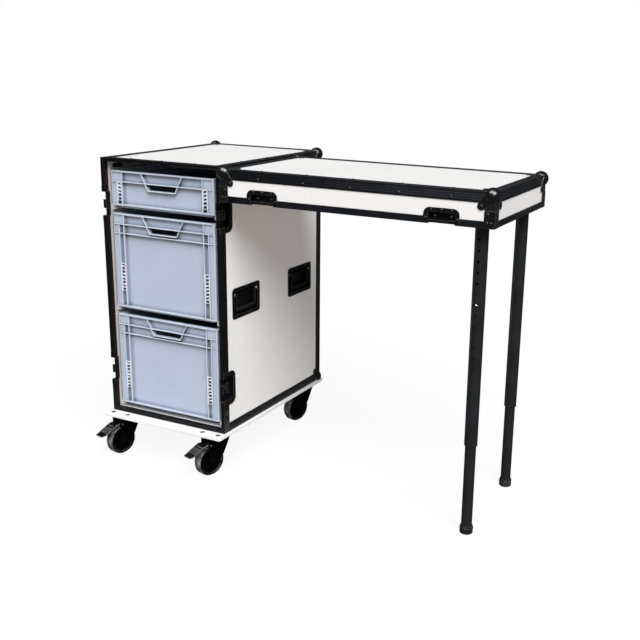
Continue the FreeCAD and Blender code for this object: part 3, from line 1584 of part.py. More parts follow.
def leg_foot(y):
    """Cap foot that the inner tube stands in, with a bead round it."""
    radius = LEG_FOOT_RADIUS
    bead = LEG_FOOT * 0.62
    return revolved(
        [
            (0, 0),
            (radius - LEG_FOOT_EDGE, 0),
            (radius, LEG_FOOT_EDGE),
            (radius, bead),
            (radius + LEG_FOOT_BEAD, bead + LEG_FOOT_BEAD),
            (radius + LEG_FOOT_BEAD, bead + 3 * LEG_FOOT_BEAD),
            (radius, bead + 4 * LEG_FOOT_BEAD),
            (radius - LEG_FOOT_EDGE / 2, LEG_FOOT),
            (LEG_INNER_RADIUS, LEG_FOOT),
            (LEG_INNER_RADIUS, LEG_FOOT_BASE),
            (0, LEG_FOOT_BASE),
        ],
        Vector(LEG_X, y, 0), Z_AXIS, X_AXIS,
    )


def build_nodes():
    """Every node by name, about the middle of the case's front edge."""
    nodes = {
        "case_side_panels": case_side_panels(),
        "case_top_panel": case_top_panel(),
        "case_base_panel": case_base_panel(),
        "case_back_panel": case_back_panel(),
        "lining_boards": lining_boards(),
        "box_runners": box_runners(),
        "front_frame": front_frame(),
        "edge_angles": edge_angles(),
        "case_ball_corners": case_ball_corners(),
        "latch_dishes": latch_dishes(),
        "handle_dishes": handle_dishes(),
        "castor_board": castor_board(),
        "castor_bolts": castor_bolts(),
        "castor_plates": castor_plates(),
        "case_hanger_rail": case_hanger_rail(),
        "table_panel": table_panel(),
        "table_walls": table_walls(),
        "table_edge_angles": table_edge_angles(),
        "table_closing_frame": table_closing_frame(),
        "table_corner_fittings": table_corner_fittings(),
        "table_keeper_dishes": table_keeper_dishes(),
        "table_hanger_rail": table_hanger_rail(),
        "leg_sockets": leg_sockets(),
    }
    for name, base, height in zip(("bottom", "middle", "top"), box_bases(), BOX_HEIGHTS):
        nodes["box_" + name] = stacking_box(base, height)
    for number, (side, height) in enumerate(latch_places(), 1):
        nodes["latch_wing_%d" % number] = latch_wing(side, height)
        nodes["latch_hook_%d" % number] = latch_hook(side, height)
    for number, (side, middle) in enumerate(handle_places(), 1):
        nodes["handle_grip_%d" % number] = handle_grip(side, middle)
    for number, place in enumerate(castor_places(), 1):
        braked = place[1] == CASTOR_FRONT_Y
        nodes["castor_fork_%d" % number] = braked_fork(place) if braked else castor_fork(place)
        nodes["castor_hub_%d" % number] = castor_hub(place)
        nodes["castor_tyre_%d" % number] = castor_tyre(place)
        if braked:
            nodes["brake_pedal_%d" % number] = brake_pedal(place)
    for name, y, facing in leg_places():
        nodes["leg_outer_" + name] = leg_outer(y, facing)
        nodes["leg_inner_" + name] = leg_inner(y, facing)
        nodes["leg_button_" + name] = leg_button(y, facing)
        nodes["leg_foot_" + name] = leg_foot(y)
    return nodes


def floor_middle(nodes):
    """The point on the floor under the middle of all nodes."""
    around = FreeCAD.BoundBox()
    for shape in nodes.values():
        around.add(shape.optimalBoundingBox(False, False))
    return Vector(around.Center.x, around.Center.y, 0)


def main():
    """Build every node, move the origin under the middle, and write the STEP files."""
    os.makedirs("parts", exist_ok=True)
    nodes = build_nodes()
    middle = floor_middle(nodes)
    for name, shape in nodes.items():
        shape.translate(middle * -1)
        shape.exportStep("parts/%s.step" % name)
    print("%d nodes, origin at x %.3f y %.3f" % (len(nodes), middle.x, middle.y))


main()
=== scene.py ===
import logging
import math
from abc import ABC, abstractmethod
from collections.abc import Iterable, Sequence
from dataclasses import dataclass
from enum import Enum

import bmesh
import bpy
from mathutils import Matrix, Vector


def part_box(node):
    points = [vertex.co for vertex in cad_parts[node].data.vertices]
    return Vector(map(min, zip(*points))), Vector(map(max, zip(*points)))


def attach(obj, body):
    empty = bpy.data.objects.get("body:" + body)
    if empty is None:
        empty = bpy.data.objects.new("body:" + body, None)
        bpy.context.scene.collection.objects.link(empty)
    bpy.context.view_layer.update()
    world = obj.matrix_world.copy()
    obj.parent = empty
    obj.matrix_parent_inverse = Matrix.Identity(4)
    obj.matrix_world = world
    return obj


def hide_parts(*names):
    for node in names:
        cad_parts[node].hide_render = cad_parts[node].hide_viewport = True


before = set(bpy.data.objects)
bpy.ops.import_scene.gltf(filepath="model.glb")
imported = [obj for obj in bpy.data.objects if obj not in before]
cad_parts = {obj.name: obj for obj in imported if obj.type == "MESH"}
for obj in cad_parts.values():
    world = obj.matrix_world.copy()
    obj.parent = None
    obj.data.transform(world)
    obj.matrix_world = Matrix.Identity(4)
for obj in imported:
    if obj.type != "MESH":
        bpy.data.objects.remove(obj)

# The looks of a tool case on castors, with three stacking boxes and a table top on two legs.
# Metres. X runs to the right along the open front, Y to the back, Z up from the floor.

log = logging.getLogger("workbench")

Triple = tuple[float, float, float]
Colour = Triple
Profile = Sequence[tuple[float, float]]

X = Vector((1, 0, 0))
Y = Vector((0, 1, 0))
Z = Vector((0, 0, 1))

LEGS = ("front", "back")

# The picture's side in pixels, and the camera's sensor in millimetres.
PICTURE = 640
SENSOR = 36.0

# How CAD nodes are softened: points nearer than the first length are one, faces within the first
# angle are one, and edges from the second angle on are rounded.
WELD = 1e-5
FLAT = math.radians(0.5)
SHARP = math.radians(40)

# How far a fastener's foot stands inside what carries it, the thickness of the pressed fittings,
# and how far the rivets of a ball corner stand from both of its edges.
SINK = 0.0002
PRESSED = 0.0012
PETAL = 0.039


class Side(Enum):
    """A side of the case, by the direction of its outward face along X."""

    RIGHT = 1
    LEFT = -1

    @property
    def outward(self) -> Vector:
        """Return the outward direction."""
        return X * self.value


class Streak(Enum):
    """The direction in which a finish is drawn out."""

    NONE = (1.0, 1.0, 1.0)
    UPRIGHT = (1.0, 1.0, 0.02)


class Sheet:
    """The node tree of one finish, laid out by short calls."""

    def __init__(self, name: str) -> None:
        """Start a material with a Principled shader.

        Args:
            name: the material's name.
        """
        self.material = bpy.data.materials.new(name)
        self.material.use_nodes = True
        self.tree = self.material.node_tree
        self.shader = next(n for n in self.tree.nodes if n.type == "BSDF_PRINCIPLED")
        self.coordinates = self.tree.nodes.new("ShaderNodeTexCoord")
        self.place = self.coordinates.outputs["Object"]

    def put(self, name: str, value: object) -> None:
        """Set or link an input of the shader.

        Args:
            name: the input's name.
            value: a constant, or the socket that drives it.
        """
        self.feed(self.shader.inputs[name], value)

    def tone(self) -> bpy.types.NodeSocket:
        """Return the socket that drives the colour so far."""
        return self.shader.inputs["Base Color"].links[0].from_socket

    def feed(self, entry: bpy.types.NodeSocket, value: object) -> None:
        """Set or link one input.

        Args:
            entry: the input.
            value: a constant, or the socket that drives it.
        """
        if isinstance(value, bpy.types.NodeSocket):
            self.tree.links.new(value, entry)
        elif isinstance(value, tuple) and entry.type == "RGBA":
            entry.default_value = (*value, 1.0)
        else:
            entry.default_value = value

    def stretched(self, stretch: Triple) -> bpy.types.NodeSocket:
        """Return object coordinates scaled along the axes.

        Args:
            stretch: the scale along X, Y and Z.

        Returns:
            The socket with the scaled coordinates.
        """
        mapping = self.tree.nodes.new("ShaderNodeMapping")
        mapping.inputs["Scale"].default_value = stretch
        self.tree.links.new(self.place, mapping.inputs["Vector"])
        return mapping.outputs["Vector"]

    def noise(
        self, scale: float, detail: float = 3.0, place: bpy.types.NodeSocket | None = None
    ) -> bpy.types.NodeSocket:
        """Return soft noise from 0 to 1.

        Args:
            scale: cells per metre.
            detail: octaves of finer noise.
            place: the coordinates, or the plain object coordinates.

        Returns:
            The socket with the noise.
        """
        node = self.tree.nodes.new("ShaderNodeTexNoise")
        node.inputs["Scale"].default_value = scale
        node.inputs["Detail"].default_value = detail
        self.tree.links.new(place or self.place, node.inputs["Vector"])
        return node.outputs[0]

    def cells(self, scale: float) -> bpy.types.NodeSocket:
        """Return the distance to the nearest of scattered points.

        Args:
            scale: cells per metre.

        Returns:
            The socket with the distance.
        """
        node = self.tree.nodes.new("ShaderNodeTexVoronoi")
        node.inputs["Scale"].default_value = scale
        self.tree.links.new(self.place, node.inputs["Vector"])
        return node.outputs["Distance"]

    def span(
        self, value: bpy.types.NodeSocket, source: tuple[float, float],
        target: tuple[float, float],
    ) -> bpy.types.NodeSocket:
        """Return a value moved from one range to another, held at its ends.

        Args:
            value: the socket to read.
            source: the range that is read.
            target: the range that is given out.

        Returns:
            The socket with the new value.
        """
        node = self.tree.nodes.new("ShaderNodeMapRange")
        self.tree.links.new(value, node.inputs["Value"])
        for name, number in zip(("From Min", "From Max", "To Min", "To Max"), (*source, *target)):
            node.inputs[name].default_value = number
        return node.outputs["Result"]

    def math(self, kind: str, first: object, second: object) -> bpy.types.NodeSocket:
        """Return the result of one sum.

        Args:
            kind: the operation's name.
            first: its first value.
            second: its second value.

        Returns:
            The socket with the result.
        """
        node = self.tree.nodes.new("ShaderNodeMath")
        node.operation = kind
        self.feed(node.inputs[0], first)
        self.feed(node.inputs[1], second)
        return node.outputs[0]

    def blend(self, first: object, second: object, share: object) -> bpy.types.NodeSocket:
        """Return a mix of two colours.

        Args:
            first: the colour at share 0.
            second: the colour at share 1.
            share: the share of the second.

        Returns:
            The socket with the colour.
        """
        node = self.tree.nodes.new("ShaderNodeMix")
        node.data_type = "RGBA"
        entries = [s for s in node.inputs if s.enabled]
        for entry, value in zip(entries, (share, first, second)):
            self.feed(entry, value)
        return next(s for s in node.outputs if s.enabled)

    def bump(self, height: bpy.types.NodeSocket, depth: float) -> None:
        """Raise the surface by a height, after any bump made before.

        Args:
            height: the socket with heights from 0 to 1.
            depth: the height of 1, in metres.
        """
        node = self.tree.nodes.new("ShaderNodeBump")
        node.inputs["Distance"].default_value = depth
        self.tree.links.new(height, node.inputs["Height"])
        before = self.shader.inputs["Normal"].links
        if before:
            self.tree.links.new(before[0].from_socket, node.inputs["Normal"])
        self.tree.links.new(node.outputs["Normal"], self.shader.inputs["Normal"])

    def openness(self, reach: float, inside: bool = False) -> bpy.types.NodeSocket:
        """Return how free a point is of the piece's own surfaces.

        Args:
            reach: how far to look, in metres.
            inside: look into the solid, which finds its outer edges.

        Returns:
            The socket with a value from 0 to 1.
        """
        node = self.tree.nodes.new("ShaderNodeAmbientOcclusion")
        node.samples = 8
        node.inside = inside
        node.only_local = True
        node.inputs["Distance"].default_value = reach
        return node.outputs["AO"]

    def across(self, direction: Triple) -> bpy.types.NodeSocket:
        """Return how far a face points along a direction of the piece itself, either way.

        Args:
            direction: a unit vector in the piece's own axes.

        Returns:
            The socket with a value from 0 to 1.
        """
        node = self.tree.nodes.new("ShaderNodeVectorMath")
        node.operation = "DOT_PRODUCT"
        node.inputs[1].default_value = direction
        self.tree.links.new(self.coordinates.outputs["Normal"], node.inputs[0])
        return self.math("ABSOLUTE", node.outputs["Value"], 0.0)

    def along(self, axis: str) -> bpy.types.NodeSocket:
        """Return one object coordinate.

        Args:
            axis: X, Y or Z.

        Returns:
            The socket with the coordinate in metres.
        """
        parts = self.tree.nodes.new("ShaderNodeSeparateXYZ")
        self.tree.links.new(self.place, parts.inputs[0])
        return parts.outputs[axis]


@dataclass(frozen=True)
class Finish:
    """A surface with soft patches of a second tone, an uneven gloss and a fine grain.

    Attributes:
        name: the finish's name.
        colour: main colour, linear.
        shade: the second tone.
        gloss: lowest and highest roughness.
        mirror: strength of the reflection straight on, 0.5 for a common plastic.
        metallic: share of metal.
        patches: patches of tone per metre.
        grain: grains per metre.
        relief: depth of the grain in metres.
        streak: the direction in which the grain is drawn out.
    """

    name: str
    colour: Colour
    shade: Colour
    gloss: tuple[float, float]
    mirror: float = 0.5
    metallic: float = 0.0
    patches: float = 5.0
    grain: float = 900.0
    relief: float = 0.00003
    streak: Streak = Streak.NONE

    def material(self) -> bpy.types.Material:
        """Return the material, made at the first call.

        Returns:
            The material.
        """
        title = f"{self.name}_finish"
        made = bpy.data.materials.get(title)
        if made is None:
            sheet = Sheet(title)
            self.paint(sheet)
            made = sheet.material
        return made

    def paint(self, sheet: Sheet) -> None:
        """Lay out the nodes.

        Args:
            sheet: the material's node tree.
        """
        place = sheet.stretched(self.streak.value)
        tone = sheet.noise(self.patches, 5.0)
        fine = sheet.noise(self.patches * 22, 3.0, place)
        sheet.put("Base Color", sheet.blend(self.colour, self.shade, sheet.span(
            tone, (0.35, 0.65), (0.0, 1.0)
        )))
        sheet.put("Roughness", sheet.span(fine, (0.3, 0.7), self.gloss))
        sheet.put("Metallic", self.metallic)
        sheet.put("Specular IOR Level", self.mirror)
        sheet.bump(sheet.noise(self.grain, 2.0, place), self.relief)


@dataclass(frozen=True)
class Laminate(Finish):
    """A smooth laminated board with faint scuffs.

    Attributes:
        scuff: the tone of the scuffs.
        scuffs: scuffs per metre.
        scuff_share: the most of their tone.
        waves: soft waves of the surface per metre.
        wave_relief: their depth in metres.
    """

    scuff: Colour = (0.62, 0.62, 0.61)
    scuffs: float = 7.0
    scuff_share: float = 0.18
    waves: float = 110.0
    wave_relief: float = 0.00006

    def paint(self, sheet: Sheet) -> None:
        """Lay out the nodes, with scuffs drawn along each axis in turn.

        Args:
            sheet: the material's node tree.
        """
        super().paint(sheet)
        base = sheet.tone()
        marks = None
        for stretch in ((9.0, 1.0, 1.0), (1.0, 9.0, 1.0), (1.0, 1.0, 9.0)):
            lines = sheet.span(
                sheet.noise(self.scuffs, 2.0, sheet.stretched(stretch)), (0.74, 0.8),
                (0.0, self.scuff_share),
            )
            marks = lines if marks is None else sheet.math("MAXIMUM", marks, lines)
        sheet.put("Base Color", sheet.blend(base, self.scuff, marks))
        sheet.bump(sheet.noise(self.waves, 1.0), self.wave_relief)


@dataclass(frozen=True)
class Lining(Finish):
    """A board with a pale face, whose front edge shows its veneers.

    Attributes:
        veneer: colour of the light veneers.
        glue: colour of the dark ones.
        veneer_width: thickness of one veneer.
        wander: how far its glue line wanders.
        fibres: fibres per metre.
    """

    veneer: Colour = (0.61, 0.52, 0.50)
    glue: Colour = (0.45, 0.37, 0.355)
    veneer_width: float = 0.0014
    wander: float = 0.0003
    fibres: float = 400.0

    def paint(self, sheet: Sheet) -> None:
        """Lay out the nodes, with the veneers across the board's thickness.

        Args:
            sheet: the material's node tree.
        """
        super().paint(sheet)
        face = sheet.tone()
        wander = sheet.span(sheet.noise(60.0), (0.0, 1.0), (-self.wander, self.wander))
        layer = sheet.math("ADD", sheet.along("X"), wander)
        count = sheet.math("MULTIPLY", layer, math.pi / self.veneer_width)
        wave = sheet.math("ABSOLUTE", sheet.math("SINE", count, 0.0), 0.0)
        fibres = sheet.noise(self.fibres, 2.0, sheet.stretched((1.0, 1.0, 0.05)))
        pale = sheet.blend(self.veneer, self.glue, sheet.span(fibres, (0.3, 0.8), (0.0, 0.5)))
        edge = sheet.blend(self.glue, pale, sheet.span(wave, (0.15, 0.4), (0.0, 1.0)))
        on_edge = sheet.span(sheet.across(tuple(Y)), (0.6, 0.7), (0.0, 1.0))
        sheet.put("Base Color", sheet.blend(face, edge, on_edge))


@dataclass(frozen=True)
class WearAndPaintedLight(Finish):
    """A finish paler on its outer edges, as wear with a painted highlight, and darker in its
    corners as painted shade.

    Attributes:
        wear_highlight: colour of the edges, worn paler and lit by a painted highlight.
        edge: how far the worn, painted highlight reaches from an edge.
        wear_highlight_most: the most of it.
        corner: how far from a corner the painted shade begins.
        corner_shade: the painted shade's share of the main colour, deep in a corner.
        shade_span: the openness deep in a corner, and where the painted shade ends.
        edge_span: the openness into the solid where the painted highlight begins and is fullest.
        strokes: strokes of the worn, painted highlight per metre.
    """

    wear_highlight: Colour = (0.80, 0.84, 0.90)
    edge: float = 0.0018
    wear_highlight_most: float = 1.0
    corner: float = 0.014
    corner_shade: float = 1.0
    shade_span: tuple[float, float] = (0.32, 0.9)
    edge_span: tuple[float, float] = (0.93, 0.68)
    strokes: float = 180.0

    def paint(self, sheet: Sheet) -> None:
        """Lay out the nodes, with painted shade in the corners, and the worn, painted highlight
        on the edges in fine, uneven strokes.

        Args:
            sheet: the material's node tree.
        """
        super().paint(sheet)
        tone = sheet.tone()
        # Painted shade: the colour darkens towards the piece's own corners and recesses.
        if self.corner_shade < 1.0:
            painted_shade = tuple(part * self.corner_shade for part in self.colour)
            tone = sheet.blend(painted_shade, tone, sheet.span(
                sheet.openness(self.corner), self.shade_span, (0.0, 1.0)
            ))
        # Painted highlight with wear: the outer edges turn paler, in uneven strokes.
        strokes = sheet.span(
            sheet.noise(self.strokes, 3.0), (0.3, 0.6), (0.7 * self.wear_highlight_most, self.wear_highlight_most)
        )
        edges = sheet.span(sheet.openness(self.edge, inside=True), self.edge_span, (0.0, 1.0))
        sheet.put("Base Color", sheet.blend(tone, self.wear_highlight, sheet.math(
            "MULTIPLY", strokes, edges
        )))


@dataclass(frozen=True)
class Powder(WearAndPaintedLight):
    """Powder coat, with a pebbled skin over a finer grain.

    Attributes:
        pebbles: pebbles per metre.
        pebble_relief: their depth in metres.
    """

    pebbles: float = 1500.0
    pebble_relief: float = 0.00004

    def paint(self, sheet: Sheet) -> None:
        """Lay out the nodes.

        Args:
            sheet: the material's node tree.
        """
        super().paint(sheet)
        sheet.bump(sheet.cells(self.pebbles), self.pebble_relief)


@dataclass(frozen=True)
class Tread(Finish):
    """Rubber with a paler tone in patches and worn speckles. The paler tone is dust, and on a
    wheel's running face it is painted light.

    Attributes:
        dust_and_light: the paler tone, which is dust, and on a wheel's running face painted
            light.
        dust_and_light_share: the most of it.
        dust_and_light_patches: its patches per metre.
        axle: direction of the axle, which keeps the pale tone, painted light, on a wheel's
            running face.
        wear: worn speckles per metre.
        wear_relief: their depth in metres.
    """

    dust_and_light: Colour = (0.16, 0.155, 0.15)
    dust_and_light_share: float = 0.55
    dust_and_light_patches: float = 45.0
    axle: Triple | None = None
    wear: float = 260.0
    wear_relief: float = 0.00012

    def paint(self, sheet: Sheet) -> None:
        """Lay out the nodes, with the paler tone in patches: dust, and painted light on a wheel's
        running face.

        Args:
            sheet: the material's node tree.
        """
        super().paint(sheet)
        base = sheet.tone()
        patchy = sheet.span(
            sheet.noise(self.dust_and_light_patches, 6.0), (0.36, 0.62), (0.0, self.dust_and_light_share)
        )
        # On a wheel the pale tone is painted light, kept to the running face that faces the lamp.
        if self.axle:
            running = sheet.span(sheet.across(self.axle), (0.75, 0.35), (0.0, 1.0))
            patchy = sheet.math("MULTIPLY", patchy, running)
        sheet.put("Base Color", sheet.blend(base, self.dust_and_light, patchy))
        sheet.bump(sheet.noise(self.wear, 4.0), self.wear_relief)


BOARD_WHITE = Laminate(
    "board_white", (0.895, 0.893, 0.888), (0.878, 0.876, 0.87), (0.34, 0.48), grain=700.0
)
LINING_PALE = Lining(
    "lining_pale", (0.60, 0.61, 0.57), (0.55, 0.56, 0.52), (0.5, 0.65), patches=8.0
)
RUNNER_PALE = Finish("runner_pale", (0.70, 0.70, 0.69), (0.63, 0.63, 0.62), (0.4, 0.55))
# The edges are painted paler: a painted highlight, with wear.
PROFILE_BLACK = WearAndPaintedLight(
    "profile_black", (0.0058, 0.0064, 0.0092), (0.0088, 0.0096, 0.0132), (0.26, 0.40),
    mirror=0.34, patches=14.0, grain=2200.0, relief=0.000012, wear_highlight=(0.045, 0.047, 0.055),
    edge=0.0009, wear_highlight_most=0.6,
)
# The edges are painted paler: a painted highlight, with wear.
FRAME_BLACK = WearAndPaintedLight(
    "frame_black", (0.0030, 0.0033, 0.0044), (0.0048, 0.0052, 0.0068), (0.3, 0.44),
    mirror=0.2, patches=14.0, grain=2200.0, relief=0.000012, wear_highlight=(0.03, 0.031, 0.036),
    edge=0.0009, wear_highlight_most=0.6,
)
# The edges are painted paler as glints: a painted highlight, with wear.
FITTING_BLACK = Powder(
    "fitting_black", (0.0040, 0.0040, 0.0047), (0.0062, 0.0062, 0.0072), (0.16, 0.28),
    mirror=0.75, patches=20.0, wear_highlight=(0.16, 0.16, 0.165), edge=0.0009, wear_highlight_most=0.8,
)
# The edges are painted paler as glints: a painted highlight, with wear.
DISH_BLACK = Powder(
    "dish_black", (0.0032, 0.0032, 0.0038), (0.0050, 0.0050, 0.0058), (0.34, 0.50),
    mirror=0.2, patches=20.0, wear_highlight=(0.14, 0.14, 0.145), edge=0.0009, wear_highlight_most=0.8,
)
RIVET_BLACK = Finish(
    "rivet_black", (0.011, 0.011, 0.0125), (0.022, 0.022, 0.024), (0.16, 0.28), mirror=0.65,
    metallic=0.3, patches=60.0,
)
ZINC = Finish(
    "zinc", (0.66, 0.66, 0.67), (0.5, 0.5, 0.52), (0.22, 0.42), metallic=1.0, patches=120.0,
    grain=1800.0, relief=0.00002,
)
# Paler outer edges as a painted highlight with wear, and painted shade in the corners and
# recesses.
BOX_PLASTIC = WearAndPaintedLight(
    "box_plastic", (0.468, 0.540, 0.668), (0.450, 0.520, 0.648), (0.34, 0.48), mirror=0.36,
    patches=9.0, grain=1600.0, relief=0.00002, wear_highlight=(0.76, 0.81, 0.88), edge=0.0022,
    wear_highlight_most=0.85, corner=0.017, corner_shade=0.24,
)
# A paler, painted-lit copy of the box plastic for the ladder strips, with a painted highlight and
# wear on the edges.
BOX_LADDER_LIT = WearAndPaintedLight(
    "box_ladder_lit", (0.72, 0.77, 0.86), (0.69, 0.74, 0.83), (0.34, 0.48), mirror=0.36,
    patches=40.0, grain=1600.0, relief=0.00002, wear_highlight=(0.80, 0.84, 0.89), edge=0.0009,
)
# A darker copy of the box plastic in painted shade, for the sheets that stand for the slots'
# floors.
BOX_PAINTED_SHADE = Finish(
    "box_painted_shade", (0.115, 0.135, 0.175), (0.10, 0.118, 0.155), (0.5, 0.62), mirror=0.2,
    patches=40.0,
)
# Near black: painted shadow on the card behind the ladder slots.
SLOT_PAINTED_SHADOW = Finish(
    "slot_painted_shadow", (0.008, 0.010, 0.015), (0.012, 0.015, 0.022), (0.6, 0.75), mirror=0.1,
    patches=30.0,
)
LEG_BLACK = Finish(
    "leg_black", (0.0115, 0.0124, 0.0146), (0.0165, 0.0177, 0.0205), (0.28, 0.42), mirror=0.34,
    patches=18.0, grain=1500.0, relief=0.00002, streak=Streak.UPRIGHT,
)
GRIP_RUBBER = Finish(
    "grip_rubber", (0.007, 0.007, 0.008), (0.011, 0.011, 0.0122), (0.5, 0.66), mirror=0.25,
    patches=30.0,
)
# The edges are painted faintly paler: a painted highlight, with wear.
FORK_BLACK = Powder(
    "fork_black", (0.0011, 0.0011, 0.0014), (0.0019, 0.0019, 0.0024), (0.4, 0.52),
    mirror=0.05, patches=20.0, wear_highlight=(0.012, 0.012, 0.013), edge=0.0007, wear_highlight_most=0.5,
)
HUB_BLACK = Finish(
    "hub_black", (0.0012, 0.0012, 0.0016), (0.0020, 0.0020, 0.0026), (0.4, 0.52),
    mirror=0.05, patches=30.0,
)
# The running face is painted pale grey: painted light where it faces the lamp, in patches like
# dust.
TYRE_RUBBER = Tread(
    "tyre_rubber", (0.0022, 0.0022, 0.0023), (0.0034, 0.0034, 0.0035), (0.62, 0.8),
    mirror=0.08, patches=25.0, dust_and_light=(0.30, 0.30, 0.295), dust_and_light_share=0.95,
    axle=(0.966, -0.259, 0.0),
)
FOOT_RUBBER = Tread(
    "foot_rubber", (0.009, 0.009, 0.0098), (0.013, 0.013, 0.0138), (0.5, 0.66),
    mirror=0.25, dust_and_light_share=0.15,
)
# The ridges' edges are painted pale: a painted highlight, with wear.
PEDAL_BLACK = Powder(
    "pedal_black", (0.0028, 0.0028, 0.0034), (0.005, 0.005, 0.0058), (0.24, 0.36),
    mirror=0.05, patches=40.0, wear_highlight=(0.60, 0.60, 0.61), edge=0.0013, wear_highlight_most=0.95,
)


@dataclass(frozen=True)
class Extent:
    """The box round some CAD nodes at rest.

    Attributes:
        low: its lowest corner.
        high: its highest corner.
    """

    low: Vector
    high: Vector

    @classmethod
    def of(cls, *nodes: str) -> "Extent":
        """Return the box round the named nodes.

        Args:
            nodes: CAD node names.

        Returns:
            The box.
        """
        corners = [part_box(node) for node in nodes]
        low = Vector(min(c[0][i] for c in corners) for i in range(3))
        high = Vector(max(c[1][i] for c in corners) for i in range(3))
        return cls(low, high)

    @property
    def middle(self) -> Vector:
        """Return the middle."""
        return (self.low + self.high) / 2

    @property
    def size(self) -> Vector:
        """Return the three side lengths."""
        return self.high - self.low

    def face(self, side: Side) -> float:
        """Return x of the face on a side of the case."""
        return self.high.x if side is Side.RIGHT else self.low.x


def facing(point: Vector, normal: Vector, ahead: Vector = Z) -> Matrix:
    """Return the placement that turns a piece's own +Z to a surface's normal.

    Args:
        point: where the piece's origin goes.
        normal: the direction of its +Z.
        ahead: the direction that its +Y leans to.

    Returns:
        The placement.
    """
    up = normal.normalized()
    if abs(up.dot(ahead)) > 0.99:
        ahead = Y
    right = ahead.cross(up).normalized()
    forward = up.cross(right)
    turn = Matrix((right, forward, up)).transposed().to_4x4()
    return Matrix.Translation(point) @ turn


class Form:
    """A mesh in the making."""

    def __init__(self) -> None:
        """Start empty."""
        self.bm = bmesh.new()

    def turned(self, profile: Profile, steps: int = 20) -> "Form":
        """Spin a chain of points round the Z axis.

        Args:
            profile: points as (radius, height), outside on the right of their order.
            steps: faces round.

        Returns:
            This form.
        """
        verts = [self.bm.verts.new((radius, 0.0, height)) for radius, height in profile]
        edges = [self.bm.edges.new(pair) for pair in zip(verts, verts[1:])]
        bmesh.ops.spin(
            self.bm, geom=verts + edges, cent=(0, 0, 0), axis=(0, 0, 1), dvec=(0, 0, 0),
            angle=math.tau, steps=steps, use_merge=True, use_duplicate=False,
        )
        bmesh.ops.remove_doubles(self.bm, verts=self.bm.verts, dist=1e-6)
        bmesh.ops.recalc_face_normals(self.bm, faces=self.bm.faces)
        return self

    def block(self, size: Vector, centre: Vector = Vector(), bevel: float = 0.0) -> "Form":
        """Add a block with rounded edges.

        Args:
            size: its side lengths.
            centre: its middle.
            bevel: width of the edge rounding.

        Returns:
            This form.
        """
        made = bmesh.ops.create_cube(self.bm, size=1.0)["verts"]
        bmesh.ops.scale(self.bm, vec=size, verts=made)
        bmesh.ops.translate(self.bm, vec=centre, verts=made)
        if bevel:
            edges = list({edge for vert in made for edge in vert.link_edges})
            self.round_edges(edges, bevel)
        return self

    def round_edges(self, edges: Sequence[bmesh.types.BMEdge], width: float) -> None:
        """Round some edges.

        Args:
            edges: the edges.
            width: the width of the rounding.
        """
        bmesh.ops.bevel(
            self.bm, geom=list(edges), offset=width, offset_type="OFFSET", affect="EDGES",
            segments=2, profile=0.5, material=-1, clamp_overlap=True,
        )

    def plate(self, outline: Profile, thickness: float, bevel: float = 0.0) -> "Form":
        """Add a flat plate on the XY plane, thickened upwards.

        Args:
            outline: corner points, anticlockwise.
            thickness: its thickness.
            bevel: width of the edge rounding.

        Returns:
            This form.
        """
        verts = [self.bm.verts.new((x, y, 0.0)) for x, y in outline]
        base = self.bm.faces.new(verts)
        made = bmesh.ops.extrude_face_region(self.bm, geom=[base])["geom"]
        top = [item for item in made if isinstance(item, bmesh.types.BMVert)]
        bmesh.ops.translate(self.bm, vec=(0, 0, thickness), verts=top)
        base.normal_flip()
        if bevel:
            bmesh.ops.recalc_face_normals(self.bm, faces=self.bm.faces)
            rim = {e for v in top for e in v.link_edges if len(e.link_faces) == 2}
            flat = [e for e in rim if all(abs(v.co.z - thickness) < 1e-7 for v in e.verts)]
            self.round_edges(flat, bevel)
        bmesh.ops.recalc_face_normals(self.bm, faces=self.bm.faces)
        return self

    def moved(self, placement: Matrix) -> "Form":
        """Move the whole form.

        Args:
            placement: the matrix to apply.

        Returns:
            This form.
        """
        bmesh.ops.transform(self.bm, matrix=placement, verts=self.bm.verts)
        return self

    def join(self, other: "Form", places: Iterable[Matrix] = (Matrix(),)) -> "Form":
        """Add another form once at each place.

        Args:
            other: the form to repeat.
            places: one matrix for each copy.

        Returns:
            This form.
        """
        mesh = bpy.data.meshes.new("part")
        other.bm.to_mesh(mesh)
        for place in places:
            first = len(self.bm.verts)
            self.bm.from_mesh(mesh)
            self.bm.verts.ensure_lookup_table()
            bmesh.ops.transform(self.bm, matrix=place, verts=self.bm.verts[first:])
        bpy.data.meshes.remove(mesh)
        return self

    def piece(
        self, name: str, body: str, finish: Finish, slot: str, sharp: float = 32.0
    ) -> bpy.types.Object:
        """Turn the form into a piece of the object.

        Args:
            name: the piece's name.
            body: the CAD body that it rides on.
            finish: its finish.
            slot: the record's material slot, which is not used.
            sharp: the angle in degrees from which an edge shows.

        Returns:
            The new object.
        """
        mesh = bpy.data.meshes.new(name)
        self.bm.to_mesh(mesh)
        self.bm.free()
        mesh.shade_smooth()
        mesh.set_sharp_from_angle(angle=math.radians(sharp))
        mesh.materials.append(finish.material())
        made = bpy.data.objects.new(name, mesh)
        bpy.context.scene.collection.objects.link(made)
        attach(made, body)
        log.info("%s on %s: %d faces", name, body, len(mesh.polygons))
        return made


@dataclass(frozen=True)
class Fastener(ABC):
    """A small fastener whose head stands on a surface.

    Attributes:
        radius: radius of its head.
        height: height of its head.
        finish: its finish.
        slot: the record's material slot.
    """

    radius: float
    height: float
    finish: Finish
    slot: str

    @abstractmethod
    def form(self) -> Form:
        """Return one fastener, standing on the XY plane."""

    def spread(self, name: str, body: str, places: Iterable[Matrix]) -> None:
        """Add one fastener at each place, all as one piece.

        Args:
            name: the piece's name.
            body: the CAD body that it rides on.
            places: one matrix for each fastener.
        """
        Form().join(self.form(), places).piece(name, body, self.finish, self.slot)


